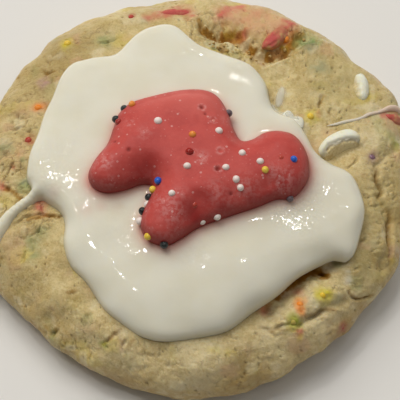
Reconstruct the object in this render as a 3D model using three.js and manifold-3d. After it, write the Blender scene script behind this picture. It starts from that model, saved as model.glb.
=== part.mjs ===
// A round sugar cookie, about 79 mm across, with a pool of white icing poured over
// its middle and a small pink iced animal cookie pressed into the icing. White chips
// and pink candy pieces are baked into the dough. Millimetres, +Z up; the origin is
// the middle of the flat underside.
import * as THREE from 'three';
import Module from 'manifold-3d';

const wasm = await Module();
wasm.setup();

// ---------------------------------------------------------------- dimensions
const CLEARANCE = 0.3; // gap kept between pieces that touch
const POCKET_CLEARANCE = 0.45; // gap round the animal cookie in its pocket

// Sugar cookie
const COOKIE_RADIUS = 39.2; // mean radius at the widest level
const COOKIE_HEIGHT = 12.8; // middle of the dome above the flat underside
const WIDEST_LEVEL = 5.0; // height of the widest level
const FLAT_SHARE = 0.9; // radius of the flat underside over the widest radius
const DOME_POWER = 3; // how long the top stays flat before it falls to the rim
const PLANAR_RADIUS = 34; // inside it the sheet radius is the plain radius
// How far the rim stands out, every 10 degrees from +X.
const RIM_SWELL = [
  0.4, 1.0, 1.5, 2.0, 0.8, 1.2, 1.2, 0.8, 0.8, 0.6, 0.7, 0.5,
  0.6, 1.6, 0.3, 0.3, 0.4, 0.2, 0.0, 0.1, 0.1, 0.1, -0.5, -1.1,
  -0.8, -0.6, 0.7, 0.7, 0.8, -0.2, -0.5, -1.3, -1.0, -0.7, -0.3, 0.1,
];
// Low lumps of the dough: height, waves along x and along y (radians/mm), phase.
const DOUGH_LUMPS = [
  [0.26, 0.21, 0.34, 0.4],
  [0.22, -0.43, 0.17, 2.1],
  [0.15, 0.55, 0.62, 4.0],
  [0.12, -0.38, 0.86, 1.3],
];
const LUMPS_FADE = [10, 22]; // the lumps grow between these sheet radii
const RIM_PUFF = { radius: 34.5, width: 3.6, height: 0.55 };

// Splits in the crust, in sheet coordinates: a path, its depth and its half width.
const GROOVES = [
  { depth: 1.6, half: 1.5, path: [[25, -18.4], [21.6, -20.8], [17.4, -23.8], [13.4, -27.0]] },
  { depth: 0.9, half: 0.8, path: [[18.4, -29.4], [20.4, -28.6], [23.4, -27.0], [26.6, -25.4]] },
  { depth: 0.9, half: 0.8, path: [[35, 4.6], [32.6, 1.6], [31.6, -1.7], [32.6, -6.4]] },
  { depth: 0.9, half: 0.8, path: [[32.6, -6.4], [34.4, -9.8], [34.3, -14], [33.8, -18]] },
  { depth: 1.2, half: 1.0, path: [[22.8, 1.4], [25.6, 2.2], [28.8, 4.0]] },
];
// The large crater: a crisp near lip, beyond which the crumb slopes up to the far rim.
const CRATER = {
  depth: 2.3,
  lip: 0.7,
  reach: 5.2,
  path: [
    [-0.5, 29.4], [2.6, 27.0], [6.6, 26.6], [9.4, 23.8], [13.2, 20.8],
    [16.6, 22.6], [20.0, 25.6], [23.4, 26.2],
  ],
};

// Icing: the outline of the pool, in sheet coordinates, counter-clockwise from the
// upper right of the drip's neck.
const ICING_OUTLINE = [
  [-24.9, -7.3], [-22.6, -9.2], [-21.4, -11.4], [-21.3, -15.2], [-20.4, -19.4],
  [-18.5, -22.8], [-14.8, -27.6], [-10.2, -30.8], [-6.4, -31.5], [-2.2, -31.5],
  [2.2, -30.8], [6.4, -29.6], [10.6, -27.3], [14.4, -24.9], [19.0, -21.8],
  [24.0, -18.6], [26.6, -18.4], [28.2, -16.4], [29.4, -11.6], [29.6, -7.6],
  [28.6, -3.8], [26.8, -1.3], [23.8, 0.4], [21.4, 2.2], [19.8, 5.2],
  [17.8, 8.0], [15.0, 9.8], [13.8, 12.4], [12.9, 16.3], [10.8, 19.5],
  [7.0, 22.2], [2.2, 24.3], [0.0, 26.8], [-2.4, 29.2], [-5.4, 29.9],
  [-9.0, 28.9], [-11.8, 25.7], [-14.6, 22.7], [-18.2, 21.5], [-21.4, 21.2],
  [-23.2, 19.0], [-25.0, 13.0], [-26.3, 7.6], [-27.8, 1.6], [-28.1, -2.4],
  [-27.4, -5.2],
];
const ICING_THICKNESS = 2.4; // in the middle of the pool
const ICING_LEAN = [0.012, -0.018]; // thickness gained per mm along x and y
const ICING_ROUND = 3.0; // width of the rounded edge
// The drip that runs over the rim: centre line in sheet coordinates with half width.
const DRIP = [
  [-24.6, -3.6, 1.6], [-27.2, -5.6, 1.2], [-29.4, -7.4, 0.85], [-31.4, -9.4, 1.0],
  [-33.0, -11.9, 1.3], [-34.6, -14.8, 1.55], [-36.4, -17.4, 1.8], [-37.8, -19.4, 2.0],
];
const DRIP_THICKNESS = 1.3;
const DRIP_LIFT = 0.1; // its underside above the pool's, so that the two join cleanly

// Animal cookie: outline in plan, clockwise from the tip of the hind leg.
const ANIMAL_OUTLINE = [
  [-17.8, -4.4], [-16.7, -1.6], [-14.8, 1.3], [-13.8, 4.6], [-13.0, 7.3],
  [-10.8, 9.6], [-6.6, 11.1], [-2.0, 12.2], [2.0, 12.2], [4.6, 10.8],
  [6.3, 7.6], [7.3, 4.2], [8.5, 2.0], [10.2, 2.2], [12.3, 3.5],
  [15.0, 3.9], [17.8, 2.9], [19.6, -0.1], [20.0, -3.6], [19.0, -6.4],
  [16.9, -8.6], [14.0, -9.0], [10.6, -10.5], [5.4, -12.4], [1.1, -14.2],
  [-1.7, -16.1], [-4.3, -17.4], [-7.0, -16.8], [-8.6, -14.6], [-8.4, -11.8],
  [-7.2, -8.6], [-6.9, -6.4], [-8.6, -6.0], [-11.8, -7.1], [-14.8, -7.5],
  [-17.0, -6.4],
];
const ANIMAL_FLOOR = 14.1; // its flat underside
const ANIMAL_THICKNESS = 6.6;
const ANIMAL_WAIST = 2.3; // widest level above the underside
const ANIMAL_ROUND = 5.6; // how far in the top goes on rising
const ANIMAL_FOOT_ROUND = 1.6; // how far in the lower edge is rounded

// Sprinkles
const SPRINKLE_RADIUS = 0.7;
const SPRINKLE_SINK = 0.15; // centre below the icing of the animal cookie
const BAKED_SINK = 0.3; // centre below the dough
// On the top of the animal cookie, in plan.
const TOP_SPRINKLES = [
  [-5.9, 4.1], [4.5, 2.2], [8.4, -2.2], [11.4, -3.9], [5.6, -5.1], [-0.9, -4.8],
  [7.3, -7.2], [8.0, -8.5], [-3.4, -9.9], [3.5, 4.2], [0.0, 1.2], [0.3, -11.6],
  [-0.5, -2.1], [14.9, -3.1], [17.1, -3.2], [12.2, -5.4],
];
// Low on its side: plan place and level of the centre.
const SIDE_SPRINKLES = [
  [-5.8, -6.7, 18.8], [-6.7, -7.9, 17.9], [-7.4, -9.0, 17.2], [-7.5, -10.2, 16.8],
  [-8.4, -11.5, 17.0], [-8.8, -13.2, 16.6], [-7.4, -16.3, 17.2], [-4.7, -17.3, 16.4],
  [1.6, -13.4, 17.0], [4.1, -12.6, 17.1], [16.5, -8.8, 16.4], [-13.3, 6.2, 17.6],
  [-12.9, 5.1, 18.0], [-11.9, 8.3, 17.8], [-10.5, 8.9, 18.6], [6.3, 7.4, 17.4],
];
// Baked into the dough, in sheet coordinates.
const BAKED_SPRINKLES = [
  [-27.9, 12.6], [17.8, 28.3], [18.9, -26.4], [-22.8, 26.8], [20.3, 9.9],
  [23.2, -24.2], [17.3, -29.9], [-15.1, -32.4], [36.5, 6.5], [-29.7, 5.8],
  [-11.4, 32.6], [27.6, -30.0], [31.6, 2.9], [-26.9, 18.0],
];

// Pieces baked into the dough, in sheet coordinates: place, turn in degrees, half
// length, half width, half height, and how far the centre lies below the dough.
const BAKED_PIECES = {
  white_chip_upper: { at: [29.2, 16.8], turn: 84, half: [3.6, 2.2, 2.0], sink: 0.9 },
  white_chip_lower: { at: [25.3, 4.6], turn: 32, half: [4.2, 2.2, 2.4], sink: 0.9 },
  pink_candy_crater: { at: [14.9, 27.6], turn: 52, half: [4.2, 1.3, 1.5], sink: 0.9 },
  pink_candy_far: { at: [-3.6, 33.8], turn: 4, half: [3.6, 1.2, 1.3], sink: 0.8 },
  pink_candy_right: { at: [37.0, 12.0], turn: 6, half: [2.8, 1.4, 1.4], sink: 0.8 },
};

// Mesh density
const BASE_SIDES = 100;
const ICING_CELL = 2.1;
const ANIMAL_CELL = 1.7;

// ------------------------------------------------------------ dough surface
// The profile of the dough as a table of sheet radius, radius and level: the dome,
// the rounded rim and the tuck under it down to the flat underside.
function doughProfile() {
  const table = [];
  const steps = 400;
  for (let i = 0; i <= steps; i += 1) {
    const f = (i / steps) * (Math.PI / 2);
    const radius = COOKIE_RADIUS * Math.sin(f) ** (2 / DOME_POWER);
    const level = WIDEST_LEVEL + (COOKIE_HEIGHT - WIDEST_LEVEL) * Math.cos(f);
    table.push({ radius, level });
  }
  for (let i = 1; i <= steps / 4; i += 1) {
    const f = (i / (steps / 4)) * (Math.PI / 2);
    const radius = COOKIE_RADIUS * (FLAT_SHARE + (1 - FLAT_SHARE) * Math.cos(f));
    table.push({ radius, level: WIDEST_LEVEL * (1 - Math.sin(f)) });
  }
  table.forEach((row, i) => {
    const before = table[i - 1];
    const planar = !before || row.radius < PLANAR_RADIUS && i <= steps;
    row.sheet = planar
      ? row.radius
      : before.sheet + Math.hypot(row.radius - before.radius, row.level - before.level);
  });
  return table;
}

const PROFILE = doughProfile();
const SHEET_END = PROFILE[PROFILE.length - 1].sheet;

// Radius and level of the profile at a sheet radius.
function profileAt(sheet) {
  let low = 0;
  let high = PROFILE.length - 1;
  while (high - low > 1) {
    const mid = (low + high) >> 1;
    if (PROFILE[mid].sheet <= sheet) low = mid;
    else high = mid;
  }
  const a = PROFILE[low];
  const b = PROFILE[high];
  const t = THREE.MathUtils.clamp((sheet - a.sheet) / (b.sheet - a.sheet), 0, 1);
  return [a.radius + (b.radius - a.radius) * t, a.level + (b.level - a.level) * t];
}

// Closed curve through points: the rim's swell by angle, as a smooth periodic curve.
const SWELL_CURVE = new THREE.CatmullRomCurve3(
  RIM_SWELL.map((swell) => new THREE.Vector3(swell, 0, 0)), true, 'catmullrom', 0.5,
);

function rimSwell(angle) {
  const turn = THREE.MathUtils.euclideanModulo(angle / (2 * Math.PI), 1);
  return SWELL_CURVE.getPoint(turn).x;
}

// A point of the sheet, carried onto the smooth dough and lifted along its normal.
function doughPoint(x, y, lift = 0) {
  const sheet = Math.hypot(x, y);
  const angle = Math.atan2(y, x);
  const [radius, level] = profileAt(sheet);
  const [radiusIn, levelIn] = profileAt(Math.max(sheet - 0.1, 0));
  const [radiusOut, levelOut] = profileAt(Math.min(sheet + 0.1, SHEET_END));
  const slope = Math.atan2(levelOut - levelIn, radiusOut - radiusIn);
  const swell = rimSwell(angle) * THREE.MathUtils.smoothstep(sheet, 10, PLANAR_RADIUS);
  const out = radius + swell - lift * Math.sin(slope);
  return new THREE.Vector3(
    out * Math.cos(angle), out * Math.sin(angle), level + lift * Math.cos(slope),
  );
}

// ------------------------------------------------------------- dough relief
// Nearest place on an open path: distance, side (positive on the left), share along.
function nearPath(path, x, y) {
  let best = { distance: Infinity, side: 1, along: 0 };
  for (let i = 0; i + 1 < path.length; i += 1) {
    const [ax, ay] = path[i];
    const [bx, by] = path[i + 1];
    const dx = bx - ax;
    const dy = by - ay;
    const t = THREE.MathUtils.clamp(((x - ax) * dx + (y - ay) * dy) / (dx * dx + dy * dy), 0, 1);
    const distance = Math.hypot(x - ax - t * dx, y - ay - t * dy);
    if (distance < best.distance) {
      const side = Math.sign(dx * (y - ay) - dy * (x - ax)) || 1;
      best = { distance, side, along: (i + t) / (path.length - 1) };
    }
  }
  return best;
}

// Lumps and the puffed rim: the relief that the icing also lies over.
function softRelief(x, y) {
  const sheet = Math.hypot(x, y);
  let lumps = 0;
  for (const [height, waveX, waveY, phase] of DOUGH_LUMPS) {
    lumps += height * Math.sin(waveX * x + waveY * y + phase);
  }
  const off = (sheet - RIM_PUFF.radius) / RIM_PUFF.width;
  return lumps * THREE.MathUtils.smoothstep(sheet, ...LUMPS_FADE)
    + RIM_PUFF.height * Math.exp(-off * off);
}

function grooveDepth(x, y) {
  let depth = 0;
  for (const groove of GROOVES) {
    const near = nearPath(groove.path, x, y);
    depth = Math.max(depth, groove.depth * Math.exp(-((near.distance / groove.half) ** 2)));
  }
  return depth;
}

// Steep on the near side of the lip and a long slope on the far side, shallow at
// both ends.
function craterDepth(x, y) {
  const near = nearPath(CRATER.path, x, y);
  const beyond = near.side * near.distance;
  const lip = THREE.MathUtils.smoothstep(beyond, -CRATER.lip, CRATER.lip);
  const slope = 1 - THREE.MathUtils.smoothstep(beyond, CRATER.lip, CRATER.reach);
  const ends = Math.sin(Math.PI * near.along) ** 0.5;
  return CRATER.depth * lip * slope * ends;
}

function doughRelief(x, y) {
  return softRelief(x, y) - grooveDepth(x, y) - craterDepth(x, y);
}

// ------------------------------------------------------------ mesh helpers
function geometryOf(positions, triangles) {
  const geometry = new THREE.BufferGeometry();
  geometry.setAttribute('position', new THREE.Float32BufferAttribute(positions, 3));
  geometry.setIndex(triangles);
  return geometry;
}

function solidOf(geometry) {
  return new wasm.Manifold(new wasm.Mesh({
    numProp: 3,
    vertProperties: new Float32Array(geometry.attributes.position.array),
    triVerts: new Uint32Array(geometry.index.array),
  }));
}

function geometryOfSolid(solid) {
  const mesh = solid.getMesh();
  return geometryOf(mesh.vertProperties, Array.from(mesh.triVerts));
}

// Closed skin over rings of points, from a pole to a pole, facing outward when the
// rings run counter-clockwise from the top pole down.
function ringGeometry(top, rings, bottom) {
  const sides = rings[0].length;
  const points = [top, ...rings.flat(), bottom];
  const last = points.length - 1;
  const triangles = [];
  const at = (ring, side) => 1 + ring * sides + (side % sides);
  for (let side = 0; side < sides; side += 1) {
    triangles.push(0, at(0, side), at(0, side + 1));
    for (let ring = 0; ring + 1 < rings.length; ring += 1) {
      triangles.push(at(ring, side), at(ring + 1, side), at(ring + 1, side + 1));
      triangles.push(at(ring, side), at(ring + 1, side + 1), at(ring, side + 1));
    }
    triangles.push(last, at(rings.length - 1, side + 1), at(rings.length - 1, side));
  }
  return geometryOf(points.flatMap((point) => point.toArray()), triangles);
}

// A smooth closed outline through its points, as many short straight sides.
function smoothOutline(points, sides = 240) {
  const knots = points.map(([x, y]) => new THREE.Vector3(x, y, 0));
  const curve = new THREE.CatmullRomCurve3(knots, true, 'catmullrom', 0.5);
  return curve.getSpacedPoints(sides).slice(0, sides).map((point) => [point.x, point.y]);
}

// Signed distance to an outline, positive inside, with the unit direction outward.
function outlineDepth(outline, x, y) {
  let inside = false;
  let distance = Infinity;
  let nearest = [0, 0];
  outline.forEach(([ax, ay], i) => {
    const [bx, by] = outline[(i + 1) % outline.length];
    const dx = bx - ax;
    const dy = by - ay;
    if ((ay > y) !== (by > y) && x < ax + (dx * (y - ay)) / dy) inside = !inside;
    const t = THREE.MathUtils.clamp(((x - ax) * dx + (y - ay) * dy) / (dx * dx + dy * dy), 0, 1);
    const away = Math.hypot(ax + t * dx - x, ay + t * dy - y);
    if (away < distance) {
      distance = away;
      nearest = [ax + t * dx, ay + t * dy];
    }
  });
  const sign = inside ? 1 : -1;
  const scale = sign / Math.max(distance, 1e-9);
  return {
    depth: sign * distance,
    outX: (nearest[0] - x) * scale,
    outY: (nearest[1] - y) * scale,
  };
}

// Distance inside an outline without a crease along the middle: the inverse fourth
// power of the distance summed along the outline, scaled to match a straight edge.
function softDepth(outline, x, y, depth) {
  let sum = 0;
  outline.forEach(([ax, ay], i) => {
    const [bx, by] = outline[(i + 1) % outline.length];
    const square = ((ax + bx) / 2 - x) ** 2 + ((ay + by) / 2 - y) ** 2;
    sum += Math.hypot(bx - ax, by - ay) / (square * square);
  });
  const soft = ((2 * sum) / Math.PI) ** (-1 / 3);
  return THREE.MathUtils.lerp(depth, soft, THREE.MathUtils.smoothstep(depth, 0.8, 2.0));
}

// Height from 0 to 1 of a rounded edge that rises over a band of the given width.
function roundRise(depth, width) {
  const short = 1 - THREE.MathUtils.clamp(depth / width, 0, 1);
  return Math.sqrt(1 - short * short);
}

// A triangle lattice cut along an outline. Points near the outline are drawn towards
// it over the band, so that a rounded edge gets even facets. Returns plan points with
// their depth, and counter-clockwise triangles.
function outlineLattice(outline, cell, band) {
  const xs = outline.map((point) => point[0]);
  const ys = outline.map((point) => point[1]);
  const left = Math.min(...xs) - cell;
  const low = Math.min(...ys) - cell;
  const columns = Math.ceil((Math.max(...xs) - left) / cell) + 2;
  const row = (cell * Math.sqrt(3)) / 2;
  const rows = Math.ceil((Math.max(...ys) - low) / row) + 2;
  const least = 0.25 * cell; // no lattice point is closer to the outline
  const lattice = [];
  for (let j = 0; j < rows; j += 1) {
    for (let i = 0; i < columns; i += 1) {
      const x = left + (i + (j % 2) / 2) * cell;
      const y = low + j * row;
      const near = outlineDepth(outline, x, y);
      const target = near.depth > 0 ? least : -least;
      const shift = Math.abs(near.depth) < least ? near.depth - target : 0;
      lattice.push({ x: x + near.outX * shift, y: y + near.outY * shift, depth: near.depth - shift });
    }
  }
  const points = [];
  const numbers = new Map();
  const keep = (key, point) => {
    if (!numbers.has(key)) {
      numbers.set(key, points.length);
      points.push(point);
    }
    return numbers.get(key);
  };
  const whole = (a) => keep(`${a}`, lattice[a]);
  const cut = (a, b) => {
    const [p, q] = [lattice[Math.min(a, b)], lattice[Math.max(a, b)]];
    const t = p.depth / (p.depth - q.depth);
    const x = p.x + (q.x - p.x) * t;
    const y = p.y + (q.y - p.y) * t;
    const near = outlineDepth(outline, x, y);
    const point = { x: x + near.outX * near.depth, y: y + near.outY * near.depth, depth: 0 };
    return keep(`${Math.min(a, b)},${Math.max(a, b)}`, point);
  };
  const triangles = [];
  const clip = (corners) => {
    const inner = corners.map((corner) => lattice[corner].depth > 0);
    const count = inner.filter(Boolean).length;
    if (count === 3) triangles.push(corners.map(whole));
    if (count === 0 || count === 3) return;
    const odd = inner.indexOf(count === 1);
    const [a, b, c] = [corners[odd], corners[(odd + 1) % 3], corners[(odd + 2) % 3]];
    if (count === 1) {
      triangles.push([whole(a), cut(a, b), cut(a, c)]);
    } else {
      triangles.push([whole(b), whole(c), cut(a, c)]);
      triangles.push([whole(b), cut(a, c), cut(a, b)]);
    }
  };
  for (let j = 0; j + 1 < rows; j += 1) {
    for (let i = 0; i + 1 < columns; i += 1) {
      const [a, b] = [j * columns + i, j * columns + i + 1];
      const [c, d] = [a + columns, b + columns];
      const cells = j % 2 ? [[a, b, d], [a, d, c]] : [[a, b, c], [b, d, c]];
      cells.forEach(clip);
    }
  }
  for (const point of points) {
    if (point.depth > 0 && point.depth < band) {
      const near = outlineDepth(outline, point.x, point.y);
      const drawn = band * (1 - Math.cos((Math.PI / 2) * (near.depth / band)));
      point.x += near.outX * (near.depth - drawn);
      point.y += near.outY * (near.depth - drawn);
      point.depth = drawn;
    }
  }
  return { points, triangles };
}

// A closed plate over an outline, between an upper and a lower surface that meet
// along the outline.
function plateGeometry(outline, cell, band, upper, lower) {
  const { points, triangles } = outlineLattice(outline, cell, band);
  const positions = points.flatMap((point) => upper(point).toArray());
  const under = points.map((point, i) => {
    if (point.depth === 0) return i;
    positions.push(...lower(point).toArray());
    return positions.length / 3 - 1;
  });
  const faces = triangles.flat();
  for (const [a, b, c] of triangles) faces.push(under[a], under[c], under[b]);
  return geometryOf(positions, faces);
}

// A sprinkle: a small ball of 32 faces.
function sprinkleSolid(centre, radius) {
  const ball = new THREE.OctahedronGeometry(radius, 1);
  ball.translate(centre.x, centre.y, centre.z);
  const corners = [];
  const numbers = new Map();
  const position = ball.attributes.position;
  const triangles = [];
  for (let i = 0; i < position.count; i += 1) {
    const corner = [position.getX(i), position.getY(i), position.getZ(i)];
    const key = corner.map((value) => value.toFixed(3)).join();
    if (!numbers.has(key)) {
      numbers.set(key, corners.length);
      corners.push(corner);
    }
    triangles.push(numbers.get(key));
  }
  return solidOf(geometryOf(corners.flat(), triangles));
}

// ------------------------------------------------------------- baked pieces
// An ellipsoid lying in the dough, its half sizes grown by a margin.
function bakedPieceGeometry({ at, turn, half, sink }, margin = 0) {
  const [x, y] = at;
  const angle = THREE.MathUtils.degToRad(turn);
  const centre = doughPoint(x, y, softRelief(x, y) - sink);
  const normal = doughPoint(x, y, 1).sub(doughPoint(x, y, 0)).normalize();
  const ahead = doughPoint(x + Math.cos(angle), y + Math.sin(angle)).sub(doughPoint(x, y));
  const side = new THREE.Vector3().crossVectors(normal, ahead).normalize();
  const along = new THREE.Vector3().crossVectors(side, normal);
  const [length, width, height] = half.map((value) => value + margin);
  const place = (u, v) => centre.clone()
    .addScaledVector(along, length * Math.sin(v) * Math.cos(u))
    .addScaledVector(side, width * Math.sin(v) * Math.sin(u))
    .addScaledVector(normal, height * Math.cos(v));
  const [around, bands] = [14, 8];
  const rings = [];
  for (let band = 1; band < bands; band += 1) {
    const ring = [];
    for (let i = 0; i < around; i += 1) {
      ring.push(place((i / around) * 2 * Math.PI, (band / bands) * Math.PI));
    }
    rings.push(ring);
  }
  return ringGeometry(place(0, 0), rings, place(0, Math.PI));
}

// ------------------------------------------------------------- sugar cookie
// Sheet radii of the rings: wide under the icing, close where the dough shows.
function doughRings() {
  const rings = [6, 12, 17];
  const open = 2.1;
  while (rings[rings.length - 1] < SHEET_END - open) {
    rings.push(rings[rings.length - 1] + open);
  }
  rings.push(SHEET_END);
  return rings;
}

function cookieBase() {
  const rings = doughRings().map((sheet) => {
    const ring = [];
    for (let side = 0; side < BASE_SIDES; side += 1) {
      const angle = (side / BASE_SIDES) * 2 * Math.PI;
      const x = sheet * Math.cos(angle);
      const y = sheet * Math.sin(angle);
      const flat = sheet === SHEET_END;
      ring.push(doughPoint(x, y, flat ? 0 : doughRelief(x, y) * tuckFade(sheet)));
    }
    return ring;
  });
  const top = doughPoint(0, 0, softRelief(0, 0));
  let solid = solidOf(ringGeometry(top, rings, new THREE.Vector3(0, 0, 0)));
  for (const piece of Object.values(BAKED_PIECES)) {
    solid = solid.subtract(solidOf(bakedPieceGeometry(piece, CLEARANCE)));
  }
  for (const [x, y] of BAKED_SPRINKLES) {
    const centre = doughPoint(x, y, doughRelief(x, y) - BAKED_SINK);
    solid = solid.add(sprinkleSolid(centre, SPRINKLE_RADIUS));
  }
  return geometryOfSolid(solid);
}

// The relief dies out on the tuck, so that the underside stays flat.
function tuckFade(sheet) {
  return 1 - THREE.MathUtils.smoothstep(sheet, SHEET_END - 5, SHEET_END - 1);
}

// --------------------------------------------------------------------- icing
function icingThickness(x, y) {
  return ICING_THICKNESS + ICING_LEAN[0] * x + ICING_LEAN[1] * y;
}

function poolGeometry() {
  const outline = smoothOutline(ICING_OUTLINE);
  const floor = (x, y) => softRelief(x, y) + CLEARANCE;
  const upper = ({ x, y, depth }) => {
    const rise = icingThickness(x, y) * roundRise(depth, ICING_ROUND);
    return doughPoint(x, y, floor(x, y) + rise);
  };
  const lower = ({ x, y }) => doughPoint(x, y, floor(x, y));
  return plateGeometry(outline, ICING_CELL, ICING_ROUND, upper, lower);
}

// The drip: a rounded section carried along its centre line over the rim.
function dripGeometry() {
  const line = new THREE.CatmullRomCurve3(DRIP.map((row) => new THREE.Vector3(...row)));
  const stations = 16;
  const arch = 8;
  const place = (share, offset, rise) => {
    const centre = line.getPoint(share);
    const ahead = line.getTangent(share).setZ(0).normalize();
    const x = centre.x - ahead.y * offset * centre.z;
    const y = centre.y + ahead.x * offset * centre.z;
    return doughPoint(x, y, softRelief(x, y) + CLEARANCE + DRIP_LIFT + rise);
  };
  const rings = [];
  for (let station = 0; station <= stations; station += 1) {
    const share = station / stations;
    const cap = Math.sin(Math.PI * THREE.MathUtils.clamp(share * 8, 0.12, 0.5))
      * Math.sin(Math.PI * THREE.MathUtils.clamp((1 - share) * 8, 0.12, 0.5));
    const ring = [];
    for (let i = 0; i <= arch; i += 1) {
      const angle = (i / arch) * Math.PI;
      ring.push(place(share, -cap * Math.cos(angle), cap * DRIP_THICKNESS * Math.sin(angle)));
    }
    ring.push(place(share, 0.4 * cap, 0));
    ring.push(place(share, -0.4 * cap, 0));
    rings.push(ring);
  }
  return ringGeometry(place(0, 0, 0.1), rings, place(1, 0, 0.1));
}

function icingPool() {
  const pocket = solidOf(animalGeometry(POCKET_CLEARANCE));
  return geometryOfSolid(solidOf(poolGeometry()).add(solidOf(dripGeometry())).subtract(pocket));
}

// ------------------------------------------------------------- animal cookie
const ANIMAL_CURVE = smoothOutline(ANIMAL_OUTLINE);

function animalTop(x, y, depth) {
  const soft = softDepth(ANIMAL_CURVE, x, y, depth);
  const rise = roundRise(soft, ANIMAL_ROUND);
  return ANIMAL_FLOOR + ANIMAL_WAIST + (ANIMAL_THICKNESS - ANIMAL_WAIST) * rise;
}

// The pillow of the animal cookie, grown all round by a margin.
function animalGeometry(margin = 0) {
  const outline = margin ? grownOutline(ANIMAL_CURVE, margin) : ANIMAL_CURVE;
  const upper = ({ x, y, depth }) => {
    const level = animalTop(x, y, Math.max(depth - margin, 0)) + margin;
    return new THREE.Vector3(x, y, depth === 0 ? level - margin : level);
  };
  const lower = ({ x, y, depth }) => {
    const fall = ANIMAL_WAIST * roundRise(depth, ANIMAL_FOOT_ROUND) + margin;
    return new THREE.Vector3(x, y, ANIMAL_FLOOR + ANIMAL_WAIST - fall);
  };
  return plateGeometry(outline, ANIMAL_CELL, ANIMAL_FOOT_ROUND, upper, lower);
}

// An outline moved outward by a margin, each corner along the mean of its sides' normals.
function grownOutline(outline, margin) {
  return outline.map(([x, y], i) => {
    const [ax, ay] = outline[(i + outline.length - 1) % outline.length];
    const [bx, by] = outline[(i + 1) % outline.length];
    const length = Math.hypot(bx - ax, by - ay);
    return [x - (margin * (by - ay)) / length, y + (margin * (bx - ax)) / length];
  });
}

function animalCookie() {
  let solid = solidOf(animalGeometry());
  for (const [x, y] of TOP_SPRINKLES) {
    const { depth } = outlineDepth(ANIMAL_CURVE, x, y);
    const centre = new THREE.Vector3(x, y, animalTop(x, y, depth) - SPRINKLE_SINK);
    solid = solid.add(sprinkleSolid(centre, SPRINKLE_RADIUS));
  }
  for (const [x, y, level] of SIDE_SPRINKLES) {
    solid = solid.add(sprinkleSolid(new THREE.Vector3(x, y, level), SPRINKLE_RADIUS));
  }
  return geometryOfSolid(solid);
}

// -------------------------------------------------------------------- object
const FINISHES = {
  dough: { color: '#bda87a', roughness: 0.85, metalness: 0 },
  icing: { color: '#e2dcc8', roughness: 0.25, metalness: 0 },
  pink_coating: { color: '#c5564f', roughness: 0.5, metalness: 0 },
  white_chip: { color: '#dcd8bb', roughness: 0.4, metalness: 0 },
  pink_candy: { color: '#b9605a', roughness: 0.55, metalness: 0 },
};

function meshOf(name, geometry, finish) {
  const mesh = new THREE.Mesh(geometry, new THREE.MeshStandardMaterial(FINISHES[finish]));
  mesh.name = name;
  return mesh;
}

function buildCookie() {
  const cookie = new THREE.Group();
  cookie.add(meshOf('cookie_base', cookieBase(), 'dough'));
  cookie.add(meshOf('icing_pool', icingPool(), 'icing'));
  cookie.add(meshOf('animal_cookie', animalCookie(), 'pink_coating'));
  for (const [name, piece] of Object.entries(BAKED_PIECES)) {
    const finish = name.startsWith('white') ? 'white_chip' : 'pink_candy';
    cookie.add(meshOf(name, bakedPieceGeometry(piece), finish));
  }
  return cookie;
}

export default buildCookie();
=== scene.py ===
"""A round sugar cookie under a pool of white icing, with a small pink iced animal cookie.

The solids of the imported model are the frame. Each soft-looking surface is worked out here
again in fine steps, in the same places and from the same named sizes, and stands for its
solid. Sizes in the formulas are in millimetres, and the meshes are in metres.
"""

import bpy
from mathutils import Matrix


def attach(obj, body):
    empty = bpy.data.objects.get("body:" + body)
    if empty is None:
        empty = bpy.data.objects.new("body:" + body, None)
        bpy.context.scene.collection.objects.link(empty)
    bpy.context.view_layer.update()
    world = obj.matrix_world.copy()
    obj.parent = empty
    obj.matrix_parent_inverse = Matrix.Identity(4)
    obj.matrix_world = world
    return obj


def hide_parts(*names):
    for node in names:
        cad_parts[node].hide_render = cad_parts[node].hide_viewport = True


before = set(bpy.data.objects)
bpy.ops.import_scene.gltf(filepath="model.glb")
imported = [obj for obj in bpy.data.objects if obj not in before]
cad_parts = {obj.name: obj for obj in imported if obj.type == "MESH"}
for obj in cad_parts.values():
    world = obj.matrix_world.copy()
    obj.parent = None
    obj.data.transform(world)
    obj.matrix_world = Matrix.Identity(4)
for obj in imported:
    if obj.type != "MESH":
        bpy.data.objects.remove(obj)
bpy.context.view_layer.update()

import math

import bpy
import numpy as np
from mathutils import Vector

bl_info = {
    "name": "Iced sugar cookie",
    "version": (1, 0, 0),
    "blender": (4, 5, 0),
    "location": "View3D > Sidebar > Cookie",
    "description": "Sugar cookie with an icing pool, a pink animal cookie and sprinkles",
    "category": "Add Mesh",
}

MM = 0.001
BODY = "root"
AT_ONCE = 8000  # points measured against an outline in one go

# ---------------- dough sizes, mm
DOUGH_SIDES = 880
COOKIE_RADIUS = 39.2
COOKIE_HEIGHT = 12.8
WIDEST_LEVEL = 5.0
FLAT_SHARE = 0.9
DOME_POWER = 3
PLANAR_RADIUS = 34.0
RIM_SWELL = np.array([
    0.4, 1, 1.5, 2, 0.8, 1.2, 1.2, 0.8, 0.8, 0.6, 0.7, 0.5,
    0.6, 1.6, 0.3, 0.3, 0.4, 0.2, 0, 0.1, 0.1, 0.1, -0.5, -1.1,
    -0.8, -0.6, 0.7, 0.7, 0.8, -0.2, -0.5, -1.3, -1, -0.7, -0.3, 0.1,
])
DOUGH_LUMPS = [
    (0.26, 0.21, 0.34, 0.4), (0.22, -0.43, 0.17, 2.1),
    (0.15, 0.55, 0.62, 4), (0.12, -0.38, 0.86, 1.3),
]
LUMPS_FADE = (10, 22)
RIM_PUFF = {"radius": 34.5, "width": 3.6, "height": 0.55}

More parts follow.
